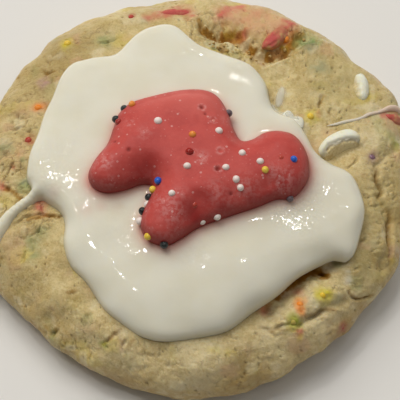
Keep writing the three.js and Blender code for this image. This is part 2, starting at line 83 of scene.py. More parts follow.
# Broad splits, which the solid has too: depth, half width and path on the sheet.
GROOVES = [
    (1.6, 1.5, [(25, -18.4), (21.6, -20.8), (17.4, -23.8), (13.4, -27)]),
    (0.7, 0.8, [(18.4, -29.4), (20.4, -28.6), (23.4, -27), (26.6, -25.4)]),
    (0.5, 0.8, [(35, 4.6), (32.6, 1.6), (31.6, -1.7), (32.6, -6.4)]),
    (0.65, 0.8, [(32.6, -6.4), (34.4, -9.8), (34.3, -14), (33.8, -18)]),
    (0.5, 0.9, [(22.8, 1.4), (25.6, 2.2), (28.8, 4)]),
]
CRATER = {
    "depth": 2.3, "lip": 0.7, "reach": 5.2,
    "path": [(-0.5, 29.4), (2.6, 27), (6.6, 26.6), (9.4, 23.8), (13.2, 20.8),
             (16.6, 22.6), (20, 25.6), (23.4, 26.2)],
}
# Fine cracks of the crust: depth, half width and path on the sheet.
CRACKS = [
    (0.6, 0.22, [(-31.4, 11.8), (-31.1, 11.2), (-30.7, 10.6)]),
    (0.7, 0.26, [(-29.3, 9.8), (-29.6, 9.3), (-30.1, 8.7), (-30.8, 8.2), (-32, 8.3)]),
    (0.5, 0.2, [(-32.7, 10.4), (-32.3, 10), (-31.7, 9.3)]),
    (0.5, 0.22, [(-25.8, 18.4), (-25.5, 17.8), (-25.7, 17.1)]),
    (0.5, 0.24, [(-27.4, 11.1), (-27.1, 10.8), (-26.7, 10.8)]),
    (0.6, 0.24, [(-31.3, 0.9), (-31.9, 0.2), (-32.6, -1), (-33.2, -2.4)]),
    (0.6, 0.24, [(-33.4, -3.2), (-32.4, -3.8), (-31.8, -4.2)]),
    (0.6, 0.26, [(-28.2, -9.9), (-26.6, -9), (-25.1, -9.5), (-23.4, -10), (-22.4, -9.4)]),
    (0.45, 0.2, [(-28.4, -15.8), (-28.5, -17), (-28.1, -18)]),
    (0.3, 0.16, [(-21.4, -24.7), (-20.8, -24.5), (-20, -24.3)]),
    (0.5, 0.22, [(-23, -30), (-24, -30.7), (-24.9, -31.3)]),
    (0.5, 0.24, [(-11.9, -30.6), (-13.6, -31.6), (-14.3, -32.3), (-15.1, -32.7)]),
    (0.4, 0.2, [(-10.7, -31.5), (-11.5, -32.9), (-12, -33.6)]),
    (0.3, 0.2, [(-5, -33.5), (-6, -34.5)]),
    (0.25, 0.2, [(-6.9, -35.2), (-8.1, -36.2)]),
    (0.7, 0.3, [(31.4, 0.4), (32.1, -1), (31.9, -1.9), (32.7, -3.2), (33, -4.4),
                (32.4, -5.2), (33.1, -6.4)]),
    (0.8, 0.3, [(33.1, -6.4), (34.4, -7.6), (35, -9), (34.6, -10.4), (34.8, -11.9),
                (34.5, -13.4), (34.7, -15), (34.9, -17.8)]),
    (0.5, 0.22, [(29.7, -4.5), (30.6, -6), (30.9, -7), (32.3, -6.9)]),
    (0.35, 0.18, [(28.6, 1.9), (28.2, 0.7), (27.5, -0.2), (26.7, 0.2)]),
    (0.45, 0.2, [(29.8, -13.1), (29.5, -13.7), (29, -14.3)]),
    (0.45, 0.2, [(28.8, -18.9), (28.5, -19.3), (28.2, -19.7)]),
    (0.6, 0.26, [(27.2, -23.4), (27.6, -24.1), (29.2, -24.4), (31.3, -24), (32.6, -23.3)]),
    (0.8, 0.34, [(19.2, -29), (19.9, -28.5), (21.7, -28.1), (23, -27.5), (24.1, -27.5)]),
    (0.5, 0.26, [(11, -30), (13.3, -30.7), (15.9, -29.5), (19.2, -29)]),
    (0.55, 0.26, [(-27.3, 20.8), (-26.3, 19.8), (-25.2, 20.1)]),
    (0.4, 0.22, [(-13.6, 27.2), (-15.4, 26.3), (-17, 25.8)]),
    (0.6, 0.3, [(22.5, 13.7), (22.1, 12.7), (21.7, 11.9), (21.5, 11.2)]),
    (0.3, 0.2, [(23.8, 11.7), (23.6, 11.2), (23.8, 9.7)]),
    (0.35, 0.24, [(28.1, 8.1), (28.4, 7.6), (28.5, 7)]),
    (0.4, 0.2, [(-30.2, -10.8), (-28.8, -9.6), (-27.6, -9.3)]),
    (0.4, 0.24, [(5.2, 32.4), (3.6, 32), (2.2, 32.6)]),
    (0.6, 0.26, [(9.2, 29.1), (9.7, 28), (10, 27)]),
]
# Pits: place, long and short half width, turn in degrees, depth and how toasted.
PITS = [
    (1.5, 29.7, 1, 0.45, 82, 0.8, 0.9), (3, 28.7, 1.3, 0.55, -14, 0.8, 1),
    (6.6, 28.2, 1.7, 0.6, 6, 0.9, 1), (8.6, 28.1, 0.8, 0.6, -30, 0.7, 1),
    (5.7, 30.5, 0.6, 0.35, -20, 0.4, 0.7), (5.5, 23.7, 0.9, 0.45, -30, 0.6, 0.9),
    (10.2, 25.7, 1.2, 0.5, -50, 0.5, 0.8), (13.4, 23.4, 1.4, 0.6, -10, 0.6, 0.9),
    (16.6, 23.8, 1.4, 0.6, 30, 0.6, 0.9), (18.9, 27.2, 0.9, 0.6, 10, 0.5, 0.8),
    (-11.5, 32.3, 0.5, 0.3, 20, 0.3, 0.8), (23.2, -20.7, 1.2, 0.32, -26, 0.8, 1),
    (18.6, -24, 1.3, 0.5, 32, 0.5, 0.8), (12.4, -26.9, 1, 0.5, 30, 0.4, 0.7),
    (-32.4, -3.8, 0.7, 0.4, 10, 0.4, 0.8), (-29.8, -6.1, 0.5, 0.4, 0, 0.4, 0.7),
    (31.1, 2.2, 0.45, 0.35, 0, 0.4, 0.3), (-24.6, -31, 0.6, 0.45, 0, 0.4, 0.4),
    (22.1, 18.5, 0.22, 0.22, 0, 0.4, 0.9), (22.2, 15.6, 0.22, 0.2, 0, 0.4, 0.9),
    (20, 18.8, 0.16, 0.16, 0, 0.3, 0.7), (22.4, 19.8, 0.16, 0.16, 0, 0.3, 0.7),
]
# Broken crumb: half width, height of the crumb, and path on the sheet.
CRUMBLED = [
    (2.4, 0.34, [(1.6, 30), (5, 27.6), (9.6, 25), (13.4, 22.8), (17, 24.6), (20.6, 26.8)]),
    (1.6, 0.26, [(3.6, 25.4), (6.6, 24.2), (9, 23.2)]),
    (1.9, 0.24, [(14.4, -28), (17.6, -26.4), (20.6, -25), (23.8, -23.6)]),
    (1, 0.24, [(-28.2, -8.6), (-25.6, -9), (-23, -9.6)]),
]
# Browned streaks: half width, strength and path on the sheet.
BROWNED = [
    (0.5, 0.6, [(1.2, 31.1), (1.4, 30.2), (1.7, 29.2)]),
    (0.6, 0.9, [(2, 29.4), (2.8, 29.1), (3.5, 28.8), (4.1, 28.3)]),
    (0.35, 0.6, [(5.4, 30.6), (5.8, 29.8)]),
    (0.95, 0.95, [(5.7, 28.5), (6.6, 28.7), (7.6, 28.6), (8.6, 28)]),
    (0.5, 0.7, [(5.3, 25.3), (5.6, 24.2), (6.2, 22.9)]),
    (0.4, 0.6, [(9.3, 28.7), (9.8, 27.6)]),
    (0.9, 0.95, [(9.5, 26.6), (10.2, 25.4), (11.2, 24.4), (12.3, 23.9)]),
    (1, 0.9, [(13.7, 23.6), (15.2, 24.2), (16.7, 25), (18.2, 26.3), (19.4, 27.3)]),
    (0.8, 0.7, [(18.2, 28.1), (19.2, 28), (20, 28.3)]),
    (0.35, 0.7, [(8.9, 30.9), (9.3, 30.6)]),
    # The next two rows, in the trough under the icing's edge, are browned crust with painted shadow.
    (0.7, 0.45, [(11.2, -27), (12.4, -26.2), (13.4, -25.4)]),
    (1.1, 1, [(13.9, -24.7), (15.2, -23.8), (17.1, -22.5), (19.1, -21.5), (20.9, -20.4),
              (22.6, -20), (23.5, -20.8)]),
    (0.4, 0.6, [(19.1, -28.3), (21, -27.9), (23.1, -27), (25, -27.2)]),
    (0.3, 0.5, [(13, -30.4), (15.4, -30.3), (17.3, -29)]),
    (0.26, 0.45, [(27.4, -23.1), (27.7, -24.1), (29, -24.4), (31.5, -23.7), (32.6, -23.3)]),
    (0.3, 0.4, [(31.8, -0.4), (31.9, -1.9), (32.7, -3.2), (33, -4.4), (32.4, -5.2),
                (33.1, -6.4), (34.4, -7.6), (35, -9), (34.8, -11.9), (34.7, -15)]),
    (0.3, 0.5, [(22.5, 13.7), (22.1, 12.7), (21.6, 11.4)]),
    (0.35, 0.45, [(-27.3, 20.8), (-26.3, 19.8), (-25.2, 20.1)]),
    (0.8, 0.35, [(30.4, 14.4), (31.4, 16.2)]),
    (0.5, 0.7, [(-32.4, -3.8), (-31.2, -4.6), (-29.8, -6.1)]),
    (0.5, 0.55, [(-28.2, -9.9), (-25.1, -9.5), (-23, -9.8)]),
    (0.4, 0.7, [(-24.7, -31.1), (-24, -30.4)]),
    (0.35, 0.6, [(-15.2, -32.8), (-13.6, -31.8), (-11.9, -30.6)]),
    (0.35, 0.5, [(-10.7, -33.3), (-9.7, -32)]), (0.3, 0.5, [(-21.4, -24.3), (-19.8, -24)]),
    (0.6, 0.35, [(31.4, -16), (32.4, -18.4)]), (0.4, 0.5, [(-26.6, 13.6), (-26.1, 11.6)]),
]
# Bands where the crust is rougher and has more creases: half width, strength and path.
ROUGH_BANDS = [
    (4, 1, [(-32.5, 14), (-31, 7), (-32, 0), (-31, -6), (-27.5, -10)]),
    (2.6, 0.5, [(-27.4, -11), (-27.8, -16)]),
    (3, 0.6, [(33.6, 5), (32.8, 0), (33.6, -8), (33.6, -17)]),
    (3, 0.4, [(15, -28), (20, -26), (26, -24), (31, -22)]),
    (3, 0.6, [(-28, 18), (-24, 23), (-17, 27)]),
    (3, 0.4, [(22, 17), (22, 11), (29, 9)]),
    (4.5, 1, [(2, 29), (8, 26), (14, 24.5), (20, 26.5)]),
    (5, 0.5, [(-22, -29.5), (-12, -34), (2, -36), (14, -34), (24, -30)]),
]

# ---------------- icing sizes, mm
ICING_OUTLINE = [
    (-24.9, -7.3), (-22.8, -9.1), (-21.9, -11.4), (-22, -15.2), (-21, -19.5),
    (-18.5, -22.8), (-14.8, -27.6), (-10.2, -30.8), (-6.4, -31.5), (-2.2, -31.5),
    (2.2, -30.8), (6.4, -29.6), (10.6, -27.3), (14.4, -24.9), (19, -21.8),
    (24, -18.6), (26.6, -18.4), (28.2, -16.4), (29.4, -11.6), (29.6, -7.6),
    (28.6, -3.8), (26.8, -1.3), (23.8, 0.4), (21.4, 2.2), (19.8, 5.2),
    (17.8, 8), (15, 9.8), (13.8, 12.4), (12.9, 16.1), (10.6, 19.2),
    (6.6, 21.7), (2, 23.9), (-0.4, 26.2), (-2.8, 28.4), (-5.6, 29.2),
    (-9, 28.4), (-11.9, 25.4), (-14.7, 22.4), (-18.2, 21.1), (-21.3, 20.7),
    (-23.4, 18.7), (-25.5, 13), (-27, 7.6), (-28.5, 1.8), (-29, -2.2),
    (-28, -5),
]
ICING_LEAN = (0.012, -0.018)
ICING_GAP = 0.3
ICING_SINK = 0.12  # how far its underside and edge lie in the dough
ICING_FRONT_ROUND = 7.5
ICING_FOLLOWS = 0.3  # how much of the dough's lumps shows through the icing
ICING_WAVES = [(0.04, 11), (0.012, 4)]  # height and length of its low waves
DRIP = [
    (-27.2, -5.6, 1.2), (-29.4, -7.4, 0.85), (-31.4, -9.4, 1), (-33, -11.9, 1.3),
    (-34.6, -14.8, 1.55), (-36.4, -17.4, 1.8), (-37.8, -19.4, 2),
]
DRIP_THICKNESS = 1.4
DRIP_ROUND = 1.5
ICING_SIDES = 840
ICING_CELL = 0.36
# Shallow valleys left where the icing flowed: depth, half width and path on the sheet.
ICING_FOLDS = [
    (0.07, 2.4, [(-15.6, 18.4), (-17.2, 13.1), (-18.1, 6.9), (-17.3, 3.8), (-16.2, 0.8)]),
    (0.08, 2, [(-20.6, -7.6), (-17.2, -9.8), (-12.6, -11.2)]),
    (0.06, 2.2, [(22.6, -3.4), (21.8, -8.2), (18.4, -12.4), (12.8, -15.6)]),
]
# Faint pink smears in the icing: place, radius and strength.
ICING_SMEARS = [(-17.6, -9.8, 1.6, 0.16), (-15.4, -9.2, 1.5, 0.2), (-12.8, -8.8, 1.8, 0.14),
                (-23.6, -6.2, 1.2, 0.12)]
# Where the icing set with fine ripples: place, reach and strength.
ICING_RIPPLES = [(-23.5, -1.5, 7, 0.85), (-12, -14, 5, 0.6), (18, -9, 4.5, 1),
                 (-24.5, -6, 3, 0.6), (0.5, -17.5, 4, 0.5), (-20, -16, 3, 0.4)]

# ---------------- animal cookie sizes, mm
ANIMAL_OUTLINE = [
    (-17.8, -4.4), (-16.7, -1.6), (-14.8, 1.3), (-13.8, 4.6), (-13, 7.3),
    (-10.8, 9.6), (-6.6, 11.1), (-2, 12.2), (2, 12.2), (4.6, 10.8),
    (6.3, 7.6), (7.3, 4.2), (8.5, 2), (10.2, 2.2), (12.3, 3.5),
    (15, 3.9), (17.8, 2.9), (19.6, -0.1), (20, -3.6), (19, -6.4),
    (16.9, -8.6), (14, -9), (10.6, -10.5), (5.4, -12.4), (1.1, -14.2),
    (-1.7, -16.1), (-4.3, -17.4), (-7, -16.8), (-8.6, -14.6), (-8.4, -11.8),
    (-7.2, -8.6), (-6.9, -6.4), (-8.6, -6), (-11.8, -7.1), (-14.8, -7.5),
    (-17, -6.4),
]
ANIMAL_FLOOR = 14.1
ANIMAL_THICKNESS = 6.6
ANIMAL_WAIST = 2.3
ANIMAL_ROUND = 5.6
ANIMAL_FOOT_ROUND = 1.6
ANIMAL_SIDES = 480
ANIMAL_CELL = 0.24
ANIMAL_LEAN = 0.07  # fall of the top for each mm towards the back
# Hollows of the coating in plan: depth, radius and path.
ANIMAL_DENTS = [
    (0.6, 1.5, [(-0.4, -14.4), (0.2, -12.4), (1, -10.6)]),
    (0.5, 2, [(8.2, 1.6), (9.2, -0.6)]),
    (0.5, 1.5, [(12.4, -9.2), (13.2, -7.6)]),
]
# Places where the rounded edge is broader: plan place, reach and how much broader.
ANIMAL_SLOPES = [(-8.6, -5.6, 3.4, 0.9), (0.6, -13.2, 2.6, 0.5), (10, -10.4, 4, 0.25)]
# Places of painted shade on the coating, darker in the saddle, the creases and low on its sides: plan
# place, reach and strength.
ANIMAL_SHADE_SPOTS = [(-8.8, -5.2, 2.3, 0.75), (-7.4, -3.7, 1.9, 0.8), (-11.6, -6.8, 1.6, 0.6),
              (0.4, -13, 1.9, 0.95), (1.6, -11.8, 1.3, 0.6), (5.2, -12, 1.6, 0.85),
              (10.2, -10.2, 1.6, 0.8), (-15.4, -7.2, 1.4, 0.4), (17.6, -7.6, 1.8, 0.7),
              (2.2, -10.4, 1.6, 0.8), (-9.2, -3, 2.2, 0.3), (15.4, -7.6, 1.3, 0.6),
              (5.6, -9.8, 1.6, 0.5), (-12.4, -4.2, 1.8, 0.35), (-1.4, -11.6, 1.4, 0.4)]
# Rims left where sprinkles fell off, in plan.
LOST_SPRINKLES = [(1.6, 7), (3.6, 4.5), (4.7, -1.9), (4.3, -5.4)]
# Small dark pits of the coating, in plan, with their radius.
COATING_PITS = [(-10.8, -1.6, 0.32), (1.6, 7, 0.3), (4.2, -5.4, 0.42), (-13.2, 0.4, 0.2),
                (2.2, 5.6, 0.2), (6.4, -9.6, 0.25)]
# Pale rubbed spots of the coating: plan place, radius and strength.
SCUFFS = [
    (-14.7, -3.5, 1.3, 0.9), (-13.9, -6.8, 0.9, 0.6), (-3.3, -12.9, 2.2, 0.6),
    (-4.8, -11.2, 1.6, 0.45), (-2.1, -10.3, 1.4, 0.4), (4, -9.6, 2, 0.5), (9.2, -8.5, 2.2, 0.5),
    (6, -11.1, 1.4, 0.4), (15.4, -7.2, 2, 0.75), (13.8, -5.7, 1.4, 0.5), (1.6, -3.2, 1, 0.8),
    (-8.3, 1.5, 1.3, 0.35), (-10.9, 3.9, 0.7, 0.9), (10.9, 1.9, 1.3, 0.55), (5.9, 5, 1, 0.4),
    (-17, -4.6, 1.2, 0.4), (0.2, -2.2, 0.6, 0.6),
]

# ---------------- sprinkles, mm
SPRINKLE_RADIUS = 0.7
SPRINKLE_SINK = 0.15
SUNK_COLOURS = ("rose", "brick")  # nearly covered by the coating
SUNK_DEEPER = 0.45
# On top of the animal cookie, in plan, by colour.
TOP_SPRINKLES = {
    "white": [(-5.9, 4.1), (4.5, 2.2), (8.4, -2.2), (11.4, -3.9), (5.6, -5.1), (-0.9, -4.8),
              (7.3, -7.2), (8, -8.5), (-3.4, -9.9)],
    "rose": [(3.5, 4.3)],
    "orange": [(0, 1.2)],
    "brick": [(0.3, -11.3), (14.9, -3.1)],
    "red": [(-0.5, -2.1)],
    "blue": [(17.1, -3.2)],
    "yellow": [(12.2, -5.4)],
}
# Low on its side, by colour: plan place and level of the centre.
SIDE_SPRINKLES = {
    "blue": [(-5.8, -6.7, 18.8)],
    "yellow": [(-6.7, -7.9, 17.9), (-7.4, -16.3, 17.2)],
    "black": [(-7.4, -9, 17.2), (-8.4, -11.5, 17), (-4.7, -17.6, 16.7), (-13.3, 6, 17.7),
              (-11.9, 8, 17.9)],
    "white": [(-7.5, -10.2, 16.8), (-8.8, -13.2, 16.6), (1.6, -13.4, 17), (4.1, -12.6, 17.1)],
    # The grey ball at (6.3, 7.4) is partly a sprinkle and partly painted shade, dark where the coating's
    # edge lies in shade.
    "grey": [(16.5, -8.8, 16.4), (6.3, 7.4, 17.4)],
    "red": [(-12.7, 4.9, 18.5)],
    "orange": [(-10.5, 8.4, 18.7)],
}
# Baked into the dough, by colour, in sheet coordinates, with the height of the centre.
BAKED_SPRINKLES = {
    "orange": [(-27.7, 12.6, -0.2), (16.9, 27.2, -0.2), (18.4, -26.5, -0.4)],
    "yellow": [(-22.3, 25.9, -0.35), (20.2, 9.2, -0.35), (22.6, -24.8, -0.45)],
    "mustard": [(16.9, -28.9, -0.4)],
    "brick": [(-29.1, 5.7, -0.2), (-11.4, 32.6, -0.5), (27.2, -30.1, -0.4)],
    "purple": [(31.1, 2.2, -0.52)],
}
SPRINKLE_COLOURS = {
    "white": (236, 222, 214), "rose": (205, 120, 108), "orange": (232, 132, 34),
    "red": (150, 26, 18), "brick": (176, 56, 40), "blue": (14, 78, 186), "yellow": (228, 190, 48),
    "mustard": (190, 168, 62), "black": (24, 28, 28), "grey": (92, 74, 80),
    "purple": (122, 86, 100),
}

PALE_SUGAR = 235

# ---------------- pieces in the dough, mm
# Place, turn in degrees, half sizes, and how far the centre lies below the dough.
WHITE_CHIPS = {
    "white_chip_upper": ((29.1, 16.8), 84, (3.7, 1.9, 2), 1),
    "white_chip_lower": ((25.5, 4.4), 32, (4.3, 2.4, 2.4), 0.9),
}
PINK_CANDIES = {
    "pink_candy_crater": ((15.4, 27.8), 52, (4.3, 1.7, 1.4), 1),
    "pink_candy_far": ((-2.9, 33.4), 2, (3.3, 1.3, 1.3), 0.8),
    "pink_candy_right": ((36.6, 11.5), 4, (3, 1.2, 1.4), 0.8),
}

# The lower chip is split: the split's path in plan, its depth and half width, and how much
# lower the dough-coloured flap lies, next to the split and well beyond it.
CHIP_SPLIT = {
    "path": [(22.6, 1.6), (23.5, 2.7), (24, 3.5), (25.4, 4.1), (26.8, 4.7), (28.3, 5.1),
             (29.6, 5.2)],
    "depth": 0.4, "half": 0.45, "flap": 0.5, "beyond": 2,
}
# The dough laps over the upper chip up to this line in plan, which lies lower there.
CHIP_LAP = [(30, 12.4), (30.4, 14.4), (30.4, 16), (30.2, 18), (29.5, 20.8)]
CHIP_LAP_DEPTH = 0.6

# ---------------- stains of colour
PINK_DYE = (196, 88, 80)
PINK_WASH = (205, 146, 112)
BLUSH = (202, 156, 128)
GREEN_DYE = (128, 150, 96)
DARK_GREEN_DYE = (46, 84, 54)
BLUE_DYE = (118, 134, 112)
YELLOW_DYE = (210, 194, 44)
LIME_DYE = (150, 156, 48)
PURPLE_DYE = (134, 104, 108)
LILAC_DYE = (178, 138, 136)
ORANGE_DYE = (226, 134, 44)
RED_DYE = (172, 74, 60)
PALE_FAT = (220, 208, 172)
OLIVE = (166, 153, 98)
MILKY = (212, 207, 190)
BUTTERSCOTCH = (158, 122, 56)
GREY_GREEN = (168, 170, 142)
# Browned crust with painted shadow under the icing's front edge.
DARK_BROWN_SHADOW = (52, 24, 8)
DULL_TAN = (150, 122, 66)
PALE_GREEN = (170, 178, 150)
# Browned crust with painted shadow along the trough under the icing's edge.
DEEP_CARAMEL_SHADOW = (92, 50, 2)
# Spots of each colour: place on the sheet, radius and strength.
SPOTS = {
    DARK_GREEN_DYE: [(20.8, 24.9, 1.2, 0.8), (4.1, 23.8, 0.45, 0.95)],
    GREEN_DYE: [(19.8, 26.6, 1.3, 0.8), (21.9, 26.4, 1.4, 0.8), (-29.4, -3.4, 1.4, 0.6),
        (-27.2, -14.9, 1.6, 0.45), (-25.6, -12.5, 1.3, 0.4), (-27.7, -13.6, 1.1, 0.4),
        (-26.9, -16.7, 1.1, 0.35), (-29.7, 1.3, 0.7, 0.5), (-15.9, 26.3, 1.7, 0.6),
        (-24.6, -31.1, 1, 0.55)],
    GREY_GREEN: [(3.4, 25.2, 1.2, 0.75)],
    BLUE_DYE: [(22.9, 20.4, 1.9, 0.5), (24.2, 20, 1.4, 0.3), (-33.1, 4.6, 1.2, 0.4),
        (-8.7, 31.2, 1, 0.5)],
    PALE_FAT: [(-33.2, 5.9, 1, 0.5), (30.6, 6, 3, 0.45), (24, -29, 5, 0.3), (1, -35, 5.5, 0.5),
        (-12, -34.5, 5, 0.3), (13, -33, 5, 0.35), (20.6, -26.2, 3.4, 0.45),
        (15.6, -27.4, 2.2, 0.45), (6.9, 25.3, 1.3, 0.65), (4, 26.6, 1.2, 0.45)],
    YELLOW_DYE: [(31.1, 14.7, 1.2, 0.35), (18, -31.6, 0.7, 0.4), (20.2, 9.2, 1.2, 1),
        (-22.3, 25.9, 1.3, 1), (22.6, -24.8, 1.4, 1.4)],
    LIME_DYE: [(35.3, 5.8, 1.4, 0.6), (36, 6.4, 0.7, 0.5), (16.9, -28.9, 1.2, 1.4),
        (-15.1, -32.9, 0.8, 0.6), (-17.4, -38.6, 1, 0.35)],
    PURPLE_DYE: [(31.1, 2.2, 1.2, 0.75), (12.6, 21, 0.5, 0.8)],
    BLUSH: [(-30, 12.3, 1.7, 0.55), (-30.5, 3, 1.9, 0.5), (34.6, 9.4, 2.4, 0.3),
        (12.2, 21.6, 1, 0.6)],
    RED_DYE: [(-26.4, 13.3, 0.9, 0.3), (-31.6, 0.2, 0.5, 0.6), (-29.1, 5.7, 1, 0.75),
        (-11.4, 32.6, 0.7, 0.7), (27.2, -30.1, 1.1, 0.8)],
    LILAC_DYE: [(-26.6, 17.8, 1.1, 0.85)],
    OLIVE: [(33, -6, 3.6, 0.35), (31, -19, 4.5, 0.4), (24.5, 17, 6.5, 0.5), (29, 9, 4, 0.1),
        (33, -12, 5, 0.12)],
    PINK_DYE: [(-26, -7.2, 0.8, 0.95), (-26.9, -7.5, 0.7, 0.95), (-33.4, -3.2, 0.7, 0.8),
        (21.1, 9.7, 0.6, 0.55), (17.9, -30.7, 0.7, 0.7), (18.6, -24.2, 0.9, 0.35),
        (12.2, -26.6, 1.1, 0.45), (-26.2, -8.4, 1.1, 0.6), (9.6, 28.3, 0.9, 0.55)],
    ORANGE_DYE: [(18.4, -26.5, 1.1, 1.3), (-27.7, 12.6, 1.1, 1), (16.9, 27.2, 1, 0.9)],
    BUTTERSCOTCH: [(8, -40.5, 6.5, 0.5), (28.5, -32.5, 5, 0.45), (37.5, -8, 4.5, 0.3),
        (-10, -41.5, 4, 0.35)],
    # Painted shadow in the trough under the icing's edge, on browned crust.
    DARK_BROWN_SHADOW: [(23.2, -20.5, 0.55, 1)],
    DULL_TAN: [(-24.5, 23.5, 5, 0.4)],
    MILKY: [(26.7, -18.6, 0.5, 0.35), (26.9, -19.9, 0.5, 0.4), (27.3, -21.3, 0.9, 0.8)],
}
# Broad tanned places: place on the sheet, reach and strength.
TANNED = [
    (-25, 21.5, 9, 1), (-31, 9, 6.5, 0.5), (-31, -8.5, 6, 0.5),
    (-28, -22, 7.5, 0.45), (-8, 33, 6.5, 0.35), (34, -1, 6, 0.3),
    (33.5, -13.5, 6.5, 0.3), (8, -38.5, 8, 0.3), (33, 12, 5, 0.3),
    (-20, 27.5, 5, 0.45),
]
# Faint scattered tints: patch size, colour, strength.
TINTS = [(3.6, GREEN_DYE, 0.22), (3, BLUSH, 0.3), (3.3, YELLOW_DYE, 0.22), (2.4, PALE_FAT, 0.5)]
# Streaks: half width, colour, strength and path on the sheet.
STREAKS = [
    (1.1, PINK_DYE, 0.8, [(-8, 31.9), (-6.4, 32.4), (-5, 32.9)]),
    (1.2, PINK_DYE, 0.9, [(-5.1, 32.9), (-3.8, 33.8), (-2.4, 34.1), (-1, 33.4), (-0.3, 32.6)]),
    (1.2, PINK_DYE, 0.95, [(5, 32), (5.8, 32.8), (6.9, 33.7), (8.1, 34.5), (9.2, 34.8)]),
    (3, PINK_WASH, 0.75, [(7.4, 32.2), (9.3, 32.6), (11.4, 32.6), (13.4, 31.4), (14.2, 30)]),
    (2, PINK_WASH, 0.45, [(10.2, 31), (11.4, 29.4), (10.8, 28.4)]),
    (1.3, PINK_DYE, 0.9, [(17.9, 30.4), (17.2, 29.3), (16.4, 28.7), (15.7, 27.8), (14.6, 26.8)]),
    (0.9, PINK_DYE, 0.85, [(33.2, 11.4), (35.4, 11.3), (37.3, 11.6), (39.5, 11.6)]),
    (0.4, PALE_GREEN, 0.5, [(-29.8, -2.7), (-28.5, -2.4)]),
    # Browned crust with painted shadow along the trough under the icing's edge.
    (1, DEEP_CARAMEL_SHADOW, 0.8,
     [(14.6, -24.2), (17.1, -22.6), (19.1, -21.5), (20.9, -20.4), (22.6, -20)]),
]


# ================ shape tools
def smoothstep(value, low, high):
    """0 below low, 1 above high, and a smooth cubic step between."""
    t = np.clip((value - low) / (high - low), 0, 1)
    return t * t * (3 - 2 * t)


def blend(low, high, share):
    """The straight mix of two values."""
    return low + (high - low) * share


def lattice_random(i, j, k, seed):
    """A number from 0 to 1 for each lattice corner: its indices and the seed times large odd
    numbers, with the high bits folded down twice."""
    n = i * 374761393 + j * 668265263 + k * 974711161 + seed * 144269507
    n = (n ^ (n >> 13)) & 0x7FFFFFFF
    n = (n * 1274126177) & 0x7FFFFFFFFFFF
    n = n ^ (n >> 16)
    return (n & 0xFFFFFF) / 0xFFFFFF


def noise(points, size, seed=0):
    """Value noise from -1 to 1: random numbers at the corners of a cubic lattice with cells of
    the given size, mixed inside each cell by quintic weights."""
    cell = np.asarray(points, float) / size
    low = np.floor(cell).astype(np.int64)
    t = cell - low
    t = t * t * t * (t * (t * 6 - 15) + 10)
    total = np.zeros(len(cell))
    for corner in range(8):
        bits = [(corner >> axis) & 1 for axis in range(3)]
        weight = np.ones(len(cell))
        for axis, bit in enumerate(bits):
            weight = weight * (t[:, axis] if bit else 1 - t[:, axis])
        corners = [low[:, axis] + bit for axis, bit in enumerate(bits)]
        total += weight * lattice_random(*corners, seed)
    return 2 * total - 1


def flat_noise(x, y, size, seed=0):
    """The same noise on a plane."""
    return noise(np.stack([x, y, np.full_like(x, 0.37 * size)], axis=-1), size, seed)


def nearest_seed(x, y, size, seed=0):
    """Distance to the nearest of one jittered point in each square cell, how much farther the
    second nearest lies, and the nearest one's own random number from 0 to 1."""
    ci = np.floor(x / size).astype(np.int64)
    cj = np.floor(y / size).astype(np.int64)
    best = np.full(len(x), np.inf)
    second = np.full(len(x), np.inf)
    chosen = np.zeros(len(x))
    for di in (-1, 0, 1):
        for dj in (-1, 0, 1):
            i, j = ci + di, cj + dj
            px = (i + 0.15 + 0.7 * lattice_random(i, j, 0 * i, seed)) * size
            py = (j + 0.15 + 0.7 * lattice_random(i, j, 0 * i + 7, seed)) * size
            distance = np.hypot(x - px, y - py)
            nearer = distance < best
            second = np.minimum(second, np.where(nearer, best, distance))
            best = np.where(nearer, distance, best)
            chosen = np.where(nearer, lattice_random(i, j, 0 * i + 19, seed), chosen)
    return best, second - best, chosen


def spline(knots, where, closed):
    """A uniform Catmull-Rom curve through the knots, at parameters in knots. Past the ends of an
    open curve the end knots are mirrored."""
    knots = np.asarray(knots, float)
    count = len(knots)
    low = np.floor(where).astype(int)
    if not closed:
        low = np.clip(low, 0, count - 2)
        knots = np.vstack([2 * knots[:1] - knots[1:2], knots, 2 * knots[-1:] - knots[-2:-1]])
        rows = [knots[low + k] for k in range(4)]
    else:
        rows = [knots[(low + k) % count] for k in (-1, 0, 1, 2)]
    t = (where - low)[:, None]
    p0, p1, p2, p3 = rows
    return 0.5 * (2 * p1 + (p2 - p0) * t + (2 * p0 - 5 * p1 + 4 * p2 - p3) * t ** 2
                  + (3 * p1 - p0 - 3 * p2 + p3) * t ** 3)


def even_curve(knots, count, closed=False):
    """Points at equal steps of length along the curve through the knots."""
    spans = len(knots) if closed else len(knots) - 1
    dense = spline(knots, np.linspace(0, spans, spans * 40 + 1), closed)
    steps = np.hypot(*(dense[1:, :2] - dense[:-1, :2]).T)
    length = np.concatenate([[0], np.cumsum(steps)])
    wanted = np.linspace(0, length[-1], count + 1 if closed else count)
    if closed:
        wanted = wanted[:-1]
    return np.stack([np.interp(wanted, length, column) for column in dense.T], axis=-1)


def in_parts(measure, x, y):
    """A measure of many points, worked out a few thousand at a time to save memory. It gets
    them as columns and gives one number or more for each."""
    return np.concatenate([
        measure(x[part:part + AT_ONCE, None], y[part:part + AT_ONCE, None])
        for part in range(0, len(x), AT_ONCE)], axis=-1)


